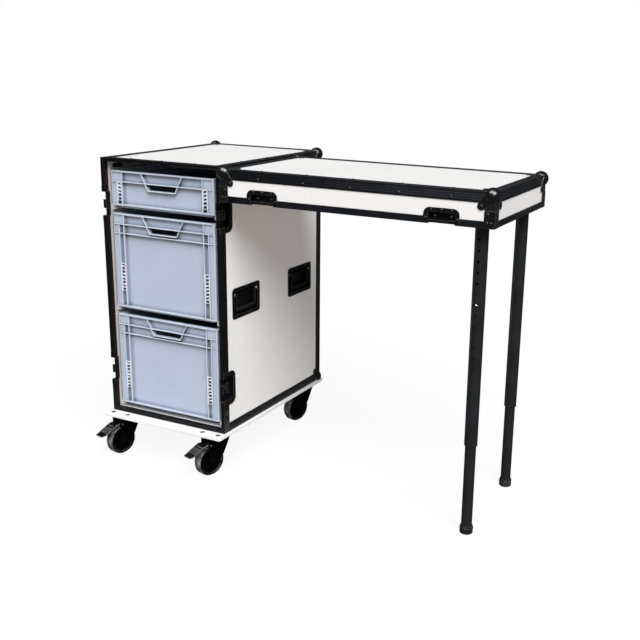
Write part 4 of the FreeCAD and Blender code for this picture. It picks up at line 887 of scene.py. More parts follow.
@dataclass(frozen=True)
class Rivet(Fastener):
    """A domed blind rivet.

    Attributes:
        eye: radius of the hole left in its middle.
    """

    radius: float = 0.0042
    height: float = 0.0017
    finish: Finish = RIVET_BLACK
    slot: str = "fitting_black"
    eye: float = 0.0011

    def form(self) -> Form:
        """Return one rivet, standing on the XY plane.

        Returns:
            The rivet.
        """
        rise = self.height
        return Form().turned([
            (0.0, rise * 0.45),
            (self.eye * 0.9, rise * 0.45),
            (self.eye, rise * 0.95),
            (self.eye + 0.0004, rise),
            (self.radius * 0.62, rise * 0.84),
            (self.radius * 0.88, rise * 0.46),
            (self.radius, rise * 0.1),
            (self.radius, -SINK),
            (0.0, -SINK),
        ], steps=14)


@dataclass(frozen=True)
class Screw(Fastener):
    """A pan head screw with a round driver recess."""

    radius: float = 0.0045
    height: float = 0.0025
    finish: Finish = ZINC
    slot: str = "bolt_steel"

    def form(self) -> Form:
        """Return one screw head, standing on the XY plane.

        Returns:
            The screw head.
        """
        recess = self.radius * 0.42
        return Form().turned([
            (0.0, self.height * 0.3),
            (recess * 0.8, self.height * 0.35),
            (recess, self.height * 0.98),
            (recess * 1.15, self.height),
            (self.radius * 0.75, self.height * 0.95),
            (self.radius * 0.96, self.height * 0.6),
            (self.radius, self.height * 0.2),
            (self.radius, -SINK),
            (0.0, -SINK),
        ], steps=16)


PROFILE_RIVET = Rivet()
FLANGE_RIVET = Rivet(0.0036, 0.0014)
POCKET_RIVET = Rivet(0.0040, 0.0018, ZINC, "bolt_steel")
SOCKET_SCREW = Screw()
RAIL_SCREW = Screw(0.0038, 0.0016)


@dataclass(frozen=True)
class Bar:
    """One length of angle profile.

    Attributes:
        corner: where its outer edge starts.
        along: the direction of the edge.
        first: outward normal of one leg.
        second: outward normal of the other leg, or None where it is hidden.
        places: rivet places, as distances from the start.
    """

    corner: Vector
    along: Vector
    first: Vector
    second: Vector | None
    places: Sequence[float]

    def rivets(self, inward: Vector, inset: float) -> list[Matrix]:
        """Return the rivet placements on the legs that show.

        Args:
            inward: the direction from the edge along the first leg.
            inset: distance of the rivets from the edge.

        Returns:
            One placement for each rivet.
        """
        found = []
        for place in self.places:
            point = self.corner + self.along * place
            found.append(facing(point + inward * inset, self.first))
            if self.second is not None:
                found.append(facing(point - self.first * inset, self.second))
        return found


def dress(finish: Finish, *nodes: str) -> None:
    """Give CAD nodes a finish.

    Args:
        finish: the finish.
        nodes: CAD node names.
    """
    for name in nodes:
        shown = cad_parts[name]
        shown.data.materials.clear()
        shown.data.materials.append(finish.material())
        log.info("%s: %s", name, finish.name)


def soften(width: float, *nodes: str, merge: bool = True) -> None:
    """Round the sharp edges of CAD nodes with live modifiers.

    Args:
        width: width of the rounding.
        nodes: CAD node names.
        merge: join the triangles of each flat face first.
    """
    for name in nodes:
        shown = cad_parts[name]
        weld = shown.modifiers.new("weld", "WELD")
        weld.merge_threshold = WELD
        if merge:
            flat = shown.modifiers.new("flat", "DECIMATE")
            flat.decimate_type = "DISSOLVE"
            flat.angle_limit = FLAT
        bevel = shown.modifiers.new("bevel", "BEVEL")
        bevel.width = width
        bevel.segments = 2
        bevel.limit_method = "ANGLE"
        bevel.angle_limit = SHARP
        bevel.use_clamp_overlap = False
        shown.modifiers.new("shade", "WEIGHTED_NORMAL")


@dataclass
class CaseShell:
    """The panels, profiles and corner fittings of the case.

    Attributes:
        rivet_inset: distance of the rivets from a profile's edge.
        side_rivets: rivet places along the depth, from the front.
        front_rivets: rivet places up the front frame, from its foot.
        back_rivets: rivet places up the back, from its foot.
        cross_rivets: rivet places across the width, from the left.
        clip: side lengths of a stop clip.
        clip_foot: side lengths of its foot.
        clip_foot_rise: height of the foot's middle over the clip's.
        clip_inset: distance of its middle from the lining's outer face.
        clip_back: the same from the case's front.
        clip_level: its height over the floor.
        rail_sheet: how far the hanger rail's face stands out of the case.
        rail_screw_rise: height of its screws over its lower edge.
        rail_screws_at: their places, as shares of its length.
    """

    rivet_inset: float = 0.0235
    side_rivets: Sequence[float] = (0.156, 0.307, 0.458)
    front_rivets: Sequence[float] = (0.045, 0.285, 0.430, 0.575, 0.815)
    back_rivets: Sequence[float] = (0.130, 0.280, 0.430, 0.580, 0.730)
    cross_rivets: Sequence[float] = (0.105, 0.229, 0.353)
    clip: Triple = (0.0065, 0.036, 0.008)
    clip_foot: Triple = (0.0025, 0.046, 0.014)
    clip_foot_rise: float = 0.003
    clip_inset: float = 0.0129
    clip_back: float = 0.055
    clip_level: float = 0.976
    rail_sheet: float = 0.0015
    rail_screw_rise: float = 0.0065
    rail_screws_at: Sequence[float] = (0.08, 0.36, 0.64, 0.92)

    def __post_init__(self) -> None:
        """Read the case's box from its frame and angles."""
        self.box = Extent.of("front_frame", "edge_angles")

    def build(self) -> None:
        """Dress the CAD nodes and add the rivets and fixings."""
        dress(
            BOARD_WHITE, "case_side_panels", "case_top_panel", "case_base_panel",
            "case_back_panel", "castor_board",
        )
        dress(LINING_PALE, "lining_boards")
        dress(RUNNER_PALE, "box_runners")
        dress(FRAME_BLACK, "front_frame")
        dress(PROFILE_BLACK, "edge_angles", "case_hanger_rail")
        dress(FITTING_BLACK, "case_ball_corners")
        soften(0.0004, "front_frame", "edge_angles")
        soften(0.0005, "case_ball_corners")
        soften(0.001, "castor_board")
        PROFILE_RIVET.spread("case_rivets", "case", self.profile_rivets() + self.ball_rivets())
        self.stop_clips()
        self.rail_screws()

    def profile_rivets(self) -> list[Matrix]:
        """Return the placements of the rivets on every profile of the case.

        Returns:
            One placement for each rivet.
        """
        low, high = self.box.low, self.box.high
        inset = self.rivet_inset
        found: list[Matrix] = []
        for side in Side:
            out = side.outward
            x = self.box.face(side)
            top = Bar(Vector((x, low.y, high.z)), Y, out, Z, self.side_rivets)
            foot = Bar(Vector((x, low.y, low.z)), Y, out, None, self.side_rivets)
            back = Bar(Vector((x, high.y, low.z)), Z, out, Y, self.back_rivets)
            front = Bar(Vector((x, low.y, low.z)), Z, out, None, self.front_rivets)
            found += top.rivets(-Z, inset) + foot.rivets(Z, inset)
            found += back.rivets(-Y, inset) + front.rivets(Y, inset)
        for z, second in ((high.z, Z), (low.z, None)):
            bar = Bar(Vector((low.x, high.y, z)), X, Y, second, self.cross_rivets)
            found += bar.rivets(-Z if second else Z, inset)
        lintel = Bar(Vector((low.x, low.y, high.z)), X, Z, None, self.cross_rivets)
        return found + lintel.rivets(Y, inset)

    def ball_rivets(self) -> list[Matrix]:
        """Return the placements of the rivets in the back ball corners' petals.

        Returns:
            One placement for each rivet.
        """
        low, high = self.box.low, self.box.high
        found: list[Matrix] = []
        for side in Side:
            for z, up in ((high.z, Z), (low.z, -Z)):
                corner = Vector((self.box.face(side), high.y, z))
                found += corner_rivets(corner, (side.outward, Y, up), skip=-Z)
        return found

    def stop_clips(self) -> None:
        """Add the black stop clips on the linings, just over the upper box."""
        lining = Extent.of("lining_boards")
        clip = Form().block(Vector(self.clip), bevel=0.0008)
        clip.block(Vector(self.clip_foot), Vector((0.0, 0.0, self.clip_foot_rise)), bevel=0.0006)
        places = []
        for side in Side:
            x = lining.face(side) - side.value * self.clip_inset
            point = Vector((x, self.box.low.y + self.clip_back, self.clip_level))
            places.append(Matrix.Translation(point))
        Form().join(clip, places).piece("stop_clips", "case", DISH_BLACK, "fitting_black")

    def rail_screws(self) -> None:
        """Add the screws that hold the hanger rail to the case's side."""
        rail = Extent.of("case_hanger_rail")
        face = self.box.high.x + self.rail_sheet
        places = [
            facing(Vector((
                face, rail.low.y + rail.size.y * share, rail.low.z + self.rail_screw_rise
            )), X)
            for share in self.rail_screws_at
        ]
        RAIL_SCREW.spread("rail_screws", "case", places)


def corner_rivets(
    corner: Vector, outward: tuple[Vector, Vector, Vector], skip: Vector | None = None
) -> list[Matrix]:
    """Return the placements of the rivets in one ball corner's petals.

    Args:
        corner: the corner of the box.
        outward: outward normals of the three faces.
        skip: a face that has no petal.

    Returns:
        One placement for each petal.
    """
    whole = outward[0] + outward[1] + outward[2]
    return [
        facing(corner - (whole - normal) * PETAL + normal * PRESSED, normal)
        for normal in outward
        if normal != skip
    ]


@dataclass
class Latch:
    """The small parts of one recessed butterfly latch.

    Attributes:
        number: the latch's number in the CAD names.
        side: the side of the case.
        band: distances of the rivets from the case's front and from the axis height.
    """

    number: int
    side: Side
    band: Sequence[tuple[float, float]] = (
        (0.060, 0.028), (0.060, -0.028), (0.060, 0.0), (0.034, 0.0475), (0.034, -0.0475),
        (0.010, 0.0475), (0.010, -0.0475),
    )

    def rivets(self, box: Extent) -> list[Matrix]:
        """Return the placements of the flange's rivets.

        Args:
            box: the case's box.

        Returns:
            One placement for each rivet.
        """
        level = Extent.of(f"latch_wing_{self.number}").middle.z
        x = box.face(self.side)
        out = self.side.outward
        return [
            facing(Vector((x, box.low.y + back, level + rise)) + out * PRESSED, out)
            for back, rise in self.band
        ]

    def build(self) -> None:
        """Dress the wing and the hook."""
        moving = f"latch_wing_{self.number}", f"latch_hook_{self.number}"
        dress(DISH_BLACK, *moving)
        soften(0.0003, *moving)


@dataclass
class Handle:
    """The small parts of one recessed sprung handle.

    Attributes:
        number: the handle's number in the CAD names.
        side: the side of the case.
        middle_drop: height of the dish's middle under the top of the grip.
        pivot_drop: height of the pin under it.
        half_length: half of the rivets' spacing along the dish.
        half_height: half of their spacing up the dish.
        pocket: half of the pocket's length.
        pin_radius: radius of the pin.
        wire: radius of the springs' wire.
        seat: distance of its middle from the pin, in radii of the wire.
        coils: turns of each spring.
        pitch: rise of a turn, in radii of the wire.
        turn_steps: faces round a turn.
        end_gap: gap between a spring and the pocket's wall.
        grip_radius: radius of the grip's bar.
        drop: depth of the bar under the pin.
        sleeve_half: half of the sleeve's length.
        sleeve_skin: thickness of the sleeve between its ridges.
        sleeve_sink: how far its ends reach into the bar.
        ridges: ridges along the sleeve.
        ridge_rise: their height.
    """

    number: int
    side: Side
    middle_drop: float = 0.032
    pivot_drop: float = 0.006
    half_length: float = 0.0740
    half_height: float = 0.0450
    pocket: float = 0.068
    pin_radius: float = 0.003
    wire: float = 0.0008
    seat: float = 1.6
    coils: int = 4
    pitch: float = 2.2
    turn_steps: int = 14
    end_gap: float = 0.001
    grip_radius: float = 0.0065
    drop: float = 0.050
    sleeve_half: float = 0.046
    sleeve_skin: float = 0.0002
    sleeve_sink: float = 0.001
    ridges: int = 12
    ridge_rise: float = 0.0008

    def __post_init__(self) -> None:
        """Read where the grip is."""
        self.name = f"handle_grip_{self.number}"
        grip = Extent.of(self.name)
        self.top = Vector((grip.middle.x, grip.middle.y, grip.high.z))
        self.pivot = self.top - Z * self.pivot_drop

    def rivets(self, face: float) -> list[Matrix]:
        """Return the placements of the flange's rivets.

        Args:
            face: x of the panel's outer face.

        Returns:
            One placement for each rivet.
        """
        out = self.side.outward
        middle = Vector((face, self.top.y, self.top.z - self.middle_drop)) + out * PRESSED
        return [
            facing(middle + Y * (along * self.half_length) + Z * (up * self.half_height), out)
            for along in (-1, 0, 1)
            for up in (-1, 1)
        ]

    def build(self) -> None:
        """Dress the grip and add its sleeve."""
        dress(DISH_BLACK, self.name)
        soften(0.0005, self.name)
        half = self.sleeve_half
        ridge = half / self.ridges
        core = self.grip_radius - self.sleeve_sink
        low = self.grip_radius + self.sleeve_skin
        profile = [(core, -half), (low, -half)]
        for index in range(self.ridges):
            start = -half + 2 * ridge * index
            profile += [
                (low + self.ridge_rise * rise, start + ridge * share)
                for rise, share in ((0.75, 0.3), (1.0, 0.7), (0.75, 1.1), (0.0, 1.5))
            ]
        profile += [(low, half), (core, half)]
        place = facing(self.pivot - Z * self.drop, Y)
        Form().turned(profile, 18).moved(place).piece(
            f"handle_sleeve_{self.number}", self.name, GRIP_RUBBER, "grip_black"
        )

    def springs(self) -> Form:
        """Return the two coil springs on the handle's pin.

        Returns:
            Both springs.
        """
        coil = Form()
        radius = self.pin_radius + self.wire * self.seat
        rise = self.wire * self.pitch
        ring = bmesh.ops.create_circle(
            coil.bm, cap_ends=False, radius=self.wire, segments=8,
            matrix=Matrix.Translation((radius, 0, 0)) @ Matrix.Rotation(math.pi / 2, 4, "X"),
        )["verts"]
        edges = list({edge for vert in ring for edge in vert.link_edges})
        bmesh.ops.spin(
            coil.bm, geom=ring + edges, cent=(0, 0, 0), axis=(0, 0, 1),
            dvec=(0, 0, rise / self.turn_steps), angle=math.tau * self.coils,
            steps=self.turn_steps * self.coils, use_merge=False, use_duplicate=False,
        )
        bmesh.ops.holes_fill(coil.bm, edges=coil.bm.edges, sides=0)
        bmesh.ops.recalc_face_normals(coil.bm, faces=coil.bm.faces)
        reach = self.pocket - self.end_gap
        ends = (-reach, reach - rise * self.coils)
        return Form().join(coil, [facing(self.pivot + Y * end, Y) for end in ends])


@dataclass
class SideHardware:
    """Every latch and handle of the case.

    Attributes:
        box: the case's box.
        sides: the side that each number is on.
    """

    box: Extent
    sides: Sequence[Side] = (Side.RIGHT, Side.RIGHT, Side.LEFT, Side.LEFT)

    def build(self) -> None:
        """Dress the dishes, build the latches and handles, and add rivets and springs."""
        dress(DISH_BLACK, "latch_dishes", "handle_dishes")
        soften(0.0004, "latch_dishes", "handle_dishes")
        panels = Extent.of("case_side_panels")
        places: list[Matrix] = []
        springs = Form()
        for number, side in enumerate(self.sides, 1):
            latch = Latch(number, side)
            latch.build()
            places += latch.rivets(self.box)
        for number, side in enumerate(self.sides, 1):
            handle = Handle(number, side)
            handle.build()
            places += handle.rivets(panels.face(side))
            springs.join(handle.springs())
        FLANGE_RIVET.spread("dish_rivets", "case", places)
        springs.piece("handle_springs", "case", ZINC, "bolt_steel", sharp=60.0)


@dataclass
class StackingBoxes:
    """The three stacking boxes.

    Attributes:
        ladder: middle of a ladder strip from the box's middle.
        strip_width: width of a ladder strip.
        strip: its thickness.
        setback: its distance behind the posts' faces.
        tall_strip: lowest and highest level of the strip on the tall boxes.
        short_strip: the same on the low box.
        border: width of the border beside a slot.
        lean: slope of a slanted slot.
        floor_share: how much of a slot the sheet painted as its lit floor fills.
        level_fill: height of a level slot, as a share of its cell's.
        slanted_fill: the same for a slanted slot.
        shadow_card: thickness of the card behind a strip, painted near black as shadow.
        shadow_card_gap: its distance behind the strip, and how much narrower it is.
        tall_marks: one letter for each slot of a tall box's strip.
        short_marks: the same for the low box.
    """

    ladder: float = 0.1665
    strip_width: float = 0.0172
    strip: float = 0.0045
    setback: float = 0.0004
    tall_strip: tuple[float, float] = (0.064, 0.157)
    short_strip: tuple[float, float] = (0.0255, 0.0845)
    border: float = 0.0019
    lean: float = 0.26
    floor_share: float = 0.36
    level_fill: float = 0.80
    slanted_fill: float = 0.56
    shadow_card: float = 0.0008
    shadow_card_gap: float = 0.001
    tall_marks: str = "-S-SS--S"
    short_marks: str = "--SSS"

    def build(self) -> None:
        """Dress the boxes and add the ladder strips between their posts."""
        for name, levels, marks in (
            ("box_bottom", self.tall_strip, self.tall_marks),
            ("box_middle", self.tall_strip, self.tall_marks),
            ("box_top", self.short_strip, self.short_marks),
        ):
            dress(BOX_PLASTIC, name)
            soften(0.0005, name, merge=False)
            places = self.strip_places(Extent.of(name))
            strip, painted_floors = self.strip_forms(levels, marks)
            low, high = levels
            size = Vector((self.strip_width - self.shadow_card_gap, high - low, self.shadow_card))
            middle = Vector((0.0, (low + high) / 2, -self.strip - self.shadow_card_gap))
            # The strips are a paler, painted-lit copy of the plastic. The slots get sheets in
            # painted shade as floors and a card of painted shadow behind.
            for form, word, finish in (
                (strip, "ladders", BOX_LADDER_LIT), (painted_floors, "ladder_painted_floors", BOX_PAINTED_SHADE),
                (Form().block(size, middle), "ladder_shadow_cards", SLOT_PAINTED_SHADOW),
            ):
                pieces = Form().join(form, places)
                bmesh.ops.recalc_face_normals(pieces.bm, faces=pieces.bm.faces)
                pieces.piece(f"{name}_{word}", name, finish, "box_plastic")

    def strip_places(self, box: Extent) -> list[Matrix]:
        """Return the placements of one box's strips, the left ones mirrored.

        Args:
            box: the box.

        Returns:
            Two placements on the front and two on the back.
        """
        places = []
        for sign in (-1, 1):
            x = box.middle.x + sign * self.ladder
            for y, out in ((box.low.y + self.setback, -Y), (box.high.y - self.setback, Y)):
                upright = facing(Vector((x, y, box.low.z)), out)
                places.append(upright @ Matrix.Scale(sign, 4, X))
        return places

    def strip_forms(self, levels: tuple[float, float], marks: str) -> tuple[Form, Form]:
        """Return one ladder strip and the sheets in painted shade that stand for the lit floors
        of its slots.

        Both stand upright in the XY plane, with their faces towards +Z.

        Args:
            levels: the strip's lowest and highest level.
            marks: one letter for each slot, from below: - level, S slanted.

        Returns:
            The strip and the painted floors.
        """
        strip, painted_floors = Form(), Form()
        low, high = levels
        height = (high - low) / len(marks)
        half = self.strip_width / 2
        cells = []
        for index in range(len(marks)):
            base = low + height * index
            corners = [(-half, base), (half, base), (half, base + height), (-half, base + height)]
            points = [strip.bm.verts.new((x, y, 0.0)) for x, y in corners]
            cells.append(strip.bm.faces.new(points))
        bmesh.ops.inset_individual(strip.bm, faces=cells, thickness=self.border)
        for cell, mark in zip(cells, marks):
            middle = cell.calc_center_median()
            lean, fill = (0.0, self.level_fill) if mark == "-" else (self.lean, self.slanted_fill)
            slot = Matrix.Translation(middle) @ Matrix(
                ((1, 0, 0, 0), (lean, 1, 0, 0), (0, 0, 1, 0), (0, 0, 0, 1))
            ) @ Matrix.Diagonal((half - self.border, height * fill / 2, 1, 1))
            for vert in cell.verts:
                way = vert.co - middle
                vert.co = slot @ Vector((math.copysign(1, way.x), math.copysign(1, way.y), 0))
            # The painted floor sheet fills the lower part of each slot, set back half the strip's
            # thickness.
            low_part = Matrix.Translation((0, self.floor_share - 1, -self.strip / 2))
            bmesh.ops.create_grid(
                painted_floors.bm, x_segments=1, y_segments=1, size=1,
                matrix=slot @ low_part @ Matrix.Diagonal((1, self.floor_share, 1, 1)),
            )
        bmesh.ops.delete(strip.bm, geom=cells, context="FACES_ONLY")
        bmesh.ops.remove_doubles(strip.bm, verts=strip.bm.verts, dist=1e-6)
        for form, thickness in ((strip, self.strip), (painted_floors, self.strip / 4)):
            bmesh.ops.recalc_face_normals(form.bm, faces=form.bm.faces)
            bmesh.ops.solidify(form.bm, geom=form.bm.faces[:], thickness=thickness)
            bmesh.ops.recalc_face_normals(form.bm, faces=form.bm.faces)
        return strip, painted_floors


@dataclass
class Castors:
    """The four castors, with their bolts through the board.

    Attributes:
        headings: direction of each castor in degrees.
        fork_half: half of the fork's outside width.
        nut_across: the axle nut's width across its flats.
        nut: its thickness.
        washer: radius of the washer under it.
        washer_thickness: its thickness.
        washer_chamfer: the chamfer of its rim.
        cup: radius of a bolt's cup washer.
        bolt: radius of a bolt.
        bolt_nut_across: a bolt's nut's width across its flats.
        bolt_nut: its thickness.
        bolt_end: how far the bolt stands out of it.
        bolt_reach: how far a bolt's points are from its first one at most.
    """

    headings: Sequence[float] = (76.0, 72.0, 75.0, 75.0)
    fork_half: float = 0.022
    nut_across: float = 0.0175
    nut: float = 0.0056
    washer: float = 0.0105
    washer_thickness: float = 0.0012
    washer_chamfer: float = 0.0004
    cup: float = 0.0074
    bolt: float = 0.004
    bolt_nut_across: float = 0.013
    bolt_nut: float = 0.0065
    bolt_end: float = 0.0008
    bolt_reach: float = 0.02

    def build(self) -> None:
        """Dress the castors and add nuts and bolts."""
        dress(FORK_BLACK, "castor_plates")
        for number, heading in enumerate(self.headings, 1):
            dress(FORK_BLACK, f"castor_fork_{number}")
            dress(HUB_BLACK, f"castor_hub_{number}")
            dress(TYRE_RUBBER, f"castor_tyre_{number}")
            soften(0.0006, f"castor_fork_{number}")
            if f"brake_pedal_{number}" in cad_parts:
                dress(PEDAL_BLACK, f"brake_pedal_{number}")
                soften(0.0006, f"brake_pedal_{number}")
            self.axle_nuts(number, heading)
        self.bolts()

    def axle_nuts(self, number: int, heading: float) -> None:
        """Add the hexagon nut and washer on both ends of one axle.

        Args:
            number: the castor's number.
            heading: its direction in degrees.
        """
        angle = math.radians(heading)
        axle = Vector((math.sin(angle), -math.cos(angle), 0))
        centre = Extent.of(f"castor_hub_{number}").middle
        rim, thick = self.washer, self.washer_thickness
        both = Form().turned([
            (0.0, 0.0), (rim, 0.0), (rim, thick - self.washer_chamfer),
            (rim - self.washer_chamfer, thick), (0.0, thick),
        ], 24).join(hexagon(self.nut_across, self.nut))
        places = [
            facing(centre + axle * (sign * (self.fork_half - SINK)), axle * sign)
            for sign in (-1, 1)
        ]
        Form().join(both, places).piece(
            f"axle_nuts_{number}", f"castor_{number}", FORK_BLACK, "fork_black"
        )

    def bolts(self) -> None:
        """Replace the plain bolts by ones with cup washers, heads and nuts."""
        top = Extent.of("castor_board").high.z
        under = Extent.of("castor_bolts").low.z - top
        neck = self.bolt * 0.95
        cups = Form().turned([
            (neck, -0.0012), (self.cup, -0.0001), (self.cup, -0.0014), (neck, -0.0030),
            (neck, -0.0012),
        ], 20)
        shank = Form().turned([
            (0.0, -0.0012), (0.0011, -0.0012), (0.0014, -0.0006), (0.0034, -0.0009),
            (neck, -0.0016), (neck, under + 0.0006), (self.bolt * 0.8, under), (0.0, under),
        ], 16)
        nut = hexagon(self.bolt_nut_across, self.bolt_nut)
        nut.moved(Matrix.Translation((0, 0, under + self.bolt_end)))
        middles = island_middles(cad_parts["castor_bolts"], self.bolt_reach)
        spots = [Matrix.Translation((x, y, top)) for x, y in middles]
        metal = Form().join(shank.join(nut), spots).piece(
            "castor_bolts_zinc", "case", ZINC, "bolt_steel"
        )
        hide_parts("castor_bolts")
        Form().join(cups, spots).piece("bolt_cups", "case", RIVET_BLACK, "fork_black")


def island_middles(node: bpy.types.Object, reach: float) -> list[tuple[float, float]]:
    """Return the middles of a node's upright parts, seen from above.

    Args:
        node: the node's object.
        reach: points nearer than this are of one part.

    Returns:
        One (x, y) for each part.
    """
    groups: list[list[Vector]] = []
    for vert in node.data.vertices:
        near = next((g for g in groups if (g[0] - vert.co.xy).length < reach), None)
        if near is None:
            groups.append([vert.co.xy])
        else:
            near.append(vert.co.xy)
    middles = []
    for group in groups:
        along, across = zip(*group)
        middles.append(((min(along) + max(along)) / 2, (min(across) + max(across)) / 2))
    return middles


def hexagon(across: float, height: float) -> Form:
    """Return a hexagon nut, standing on the XY plane, with chamfered corners.

    Args:
        across: width across its flats.
        height: its height.

    Returns:
        The nut.
    """
    radius = across / 2 / math.cos(math.pi / 6)
    outline = [
        (radius * math.cos(math.pi * i / 3), radius * math.sin(math.pi * i / 3))
        for i in range(6)
    ]
    return Form().plate(outline, height, bevel=height * 0.12)


@dataclass
class Table:
    """The table top, which is the case's lid.

    Attributes:
        rivet_inset: distance of the rivets from a profile's edge.
        long_rivets: rivet places along the length, from the left.
        short_rivets: rivet places across, from the front.
        brace_rivets: places on a brace's long side, as (distance from the corner, height).
        brace_end_rivets: the same on its short side.
        keeper_inset: distance of each keeper's middle from the table's ends.
        keeper_rivets: places on a keeper's flange, as (along, height).
        pocket_rivets: places on its pocket's floor.
        pocket_depth: depth of that floor.
        screws_out: distance of a socket's screws from the leg's axis, both ways.
        tongue: how far the closing frame's tongue hangs under the walls.
    """

    rivet_inset: float = 0.0225
    long_rivets: Sequence[float] = (0.135, 0.285, 0.435, 0.585, 0.735)
    short_rivets: Sequence[float] = (0.079, 0.229, 0.379)
    brace_rivets: Sequence[tuple[float, float]] = ((0.020, 0.037), (0.010, 0.014), (0.021, 0.014))
    brace_end_rivets: Sequence[tuple[float, float]] = ((0.020, 0.037), (0.020, 0.014))
    keeper_inset: float = 0.149
    keeper_rivets: Sequence[tuple[float, float]] = (
        (-0.0455, 0.015), (0.0455, 0.015), (-0.030, 0.038), (0.030, 0.038), (0.0, 0.038),
    )
    pocket_rivets: Sequence[tuple[float, float]] = ((-0.0235, 0.020), (0.0235, 0.020))
    pocket_depth: float = 0.014
    screws_out: float = 0.030
    tongue: float = 0.0013

    def __post_init__(self) -> None:
        """Read the table's box from its profiles."""
        edge = Extent.of("table_edge_angles")
        closing = Extent.of("table_closing_frame")
        self.low = Vector((edge.low.x, edge.low.y, closing.low.z + self.tongue))
        self.high = edge.high

    def build(self) -> None:
        """Dress the table and add its rivets and screws."""
        dress(BOARD_WHITE, "table_panel", "table_walls")
        dress(PROFILE_BLACK, "table_edge_angles", "table_closing_frame", "table_hanger_rail")
        dress(FITTING_BLACK, "table_corner_fittings")
        dress(DISH_BLACK, "table_keeper_dishes", "leg_sockets")
        soften(0.0004, "table_edge_angles", "table_closing_frame", "table_keeper_dishes")
        soften(0.0005, "table_corner_fittings")
        PROFILE_RIVET.spread(
            "table_rivets", "table", self.profile_rivets() + self.corner_rivets()
        )
        self.keeper_fixings()
        self.socket_screws()

    def profile_rivets(self) -> list[Matrix]:
        """Return the placements of the rivets on the upper profiles.

        Returns:
            One placement for each rivet.
        """
        low, high, inset = self.low, self.high, self.rivet_inset
        found: list[Matrix] = []
        for y, out in ((low.y, -Y), (high.y, Y)):
            bar = Bar(Vector((low.x, y, high.z)), X, out, Z, self.long_rivets)
            found += bar.rivets(-Z, inset)
        for x, out in ((low.x, -X), (high.x, X)):
            bar = Bar(Vector((x, low.y, high.z)), Y, out, Z, self.short_rivets)
            found += bar.rivets(-Z, inset)
        return found

    def corner_rivets(self) -> list[Matrix]:
        """Return the placements of the rivets in the ball corners and the braces.

        Returns:
            One placement for each rivet.
        """
        low, high = self.low, self.high
        found: list[Matrix] = []
        for x, out_x in ((low.x, -X), (high.x, X)):
            for y, out_y in ((low.y, -Y), (high.y, Y)):
                found += corner_rivets(Vector((x, y, high.z)), (out_x, out_y, Z))
                foot = Vector((x, y, low.z))
                for places, out, other in (
                    (self.brace_rivets, out_y, out_x), (self.brace_end_rivets, out_x, out_y),
                ):
                    found += [
                        facing(foot - other * back + out * PRESSED + Z * rise, out)
                        for back, rise in places
                    ]
        return found

    def keeper_fixings(self) -> None:
        """Add the rivets of the keepers' flanges and the bright ones in their pockets."""
        flange: list[Matrix] = []
        pocket: list[Matrix] = []
        for y, out in ((self.low.y, -Y), (self.high.y, Y)):
            for x in (self.low.x + self.keeper_inset, self.high.x - self.keeper_inset):
                base = Vector((x, y, self.low.z))
                for found, spots, depth in (
                    (flange, self.keeper_rivets, -PRESSED),
                    (pocket, self.pocket_rivets, self.pocket_depth),
                ):
                    found += [
                        facing(base + X * along + Z * rise - out * depth, out)
                        for along, rise in spots
                    ]
        FLANGE_RIVET.spread("keeper_rivets", "table", flange)
        POCKET_RIVET.spread("keeper_pocket_rivets", "table", pocket)

    def socket_screws(self) -> None:
        """Add the screws that hold the leg sockets under the panel."""
        places = []
        for name in LEGS:
            leg = Extent.of(f"leg_outer_{name}")
            top = Vector((leg.middle.x, leg.middle.y, leg.high.z))
            places += [
                facing(top + (X * along + Y * across) * self.screws_out, -Z)
                for along in (-1, 1)
                for across in (-1, 1)
            ]
        SOCKET_SCREW.spread("socket_screws", "table", places)


@dataclass
class Legs:
    """The two telescopic legs."""

    def build(self) -> None:
        """Dress the legs."""
        for name in LEGS:
            dress(LEG_BLACK, f"leg_outer_{name}", f"leg_inner_{name}")
            dress(ZINC, f"leg_button_{name}")
            dress(FOOT_RUBBER, f"leg_foot_{name}")


@dataclass(frozen=True)
class Viewpoint:
    """The camera that frames the object.

    Attributes:
        place: the camera's place, from the floor under the middle of the case's front.
        yaw: its turn to the left of +Y in degrees.
        pitch: its tilt upwards in degrees.
        roll: its roll in degrees.
        focal: focal length in pixels of the picture.
        right: the optical axis right of the picture's middle, in pixels.
    """

    place: Triple = (1.88056, -2.34762, 1.33963)
    yaw: float = 26.24
    pitch: float = -15.75
    roll: float = 1.15
    focal: float = 943.3
    right: float = 43.95

    def build(self) -> None:
        """Make the camera and give it to the scene."""
        yaw, pitch, roll = (math.radians(a) for a in (self.yaw, self.pitch, self.roll))
        ahead = Vector((
            -math.sin(yaw) * math.cos(pitch), math.cos(yaw) * math.cos(pitch), math.sin(pitch)
        ))
        level = Vector((math.cos(yaw), math.sin(yaw), 0))
        above = level.cross(ahead)
        across = level * math.cos(roll) + above * math.sin(roll)
        up = above * math.cos(roll) - level * math.sin(roll)
        data = bpy.data.cameras.new("camera")
        data.sensor_width = SENSOR
        data.lens = self.focal * SENSOR / PICTURE
        data.shift_x = -self.right / PICTURE
        camera = bpy.data.objects.new("camera", data)
        turn = Matrix((across, up, -ahead)).transposed().to_4x4()
        case = Extent.of("front_frame")
        start = Vector((case.middle.x, case.low.y, 0)) + Vector(self.place)
        camera.matrix_world = Matrix.Translation(start) @ turn
        bpy.context.scene.collection.objects.link(camera)
        bpy.context.scene.camera = camera


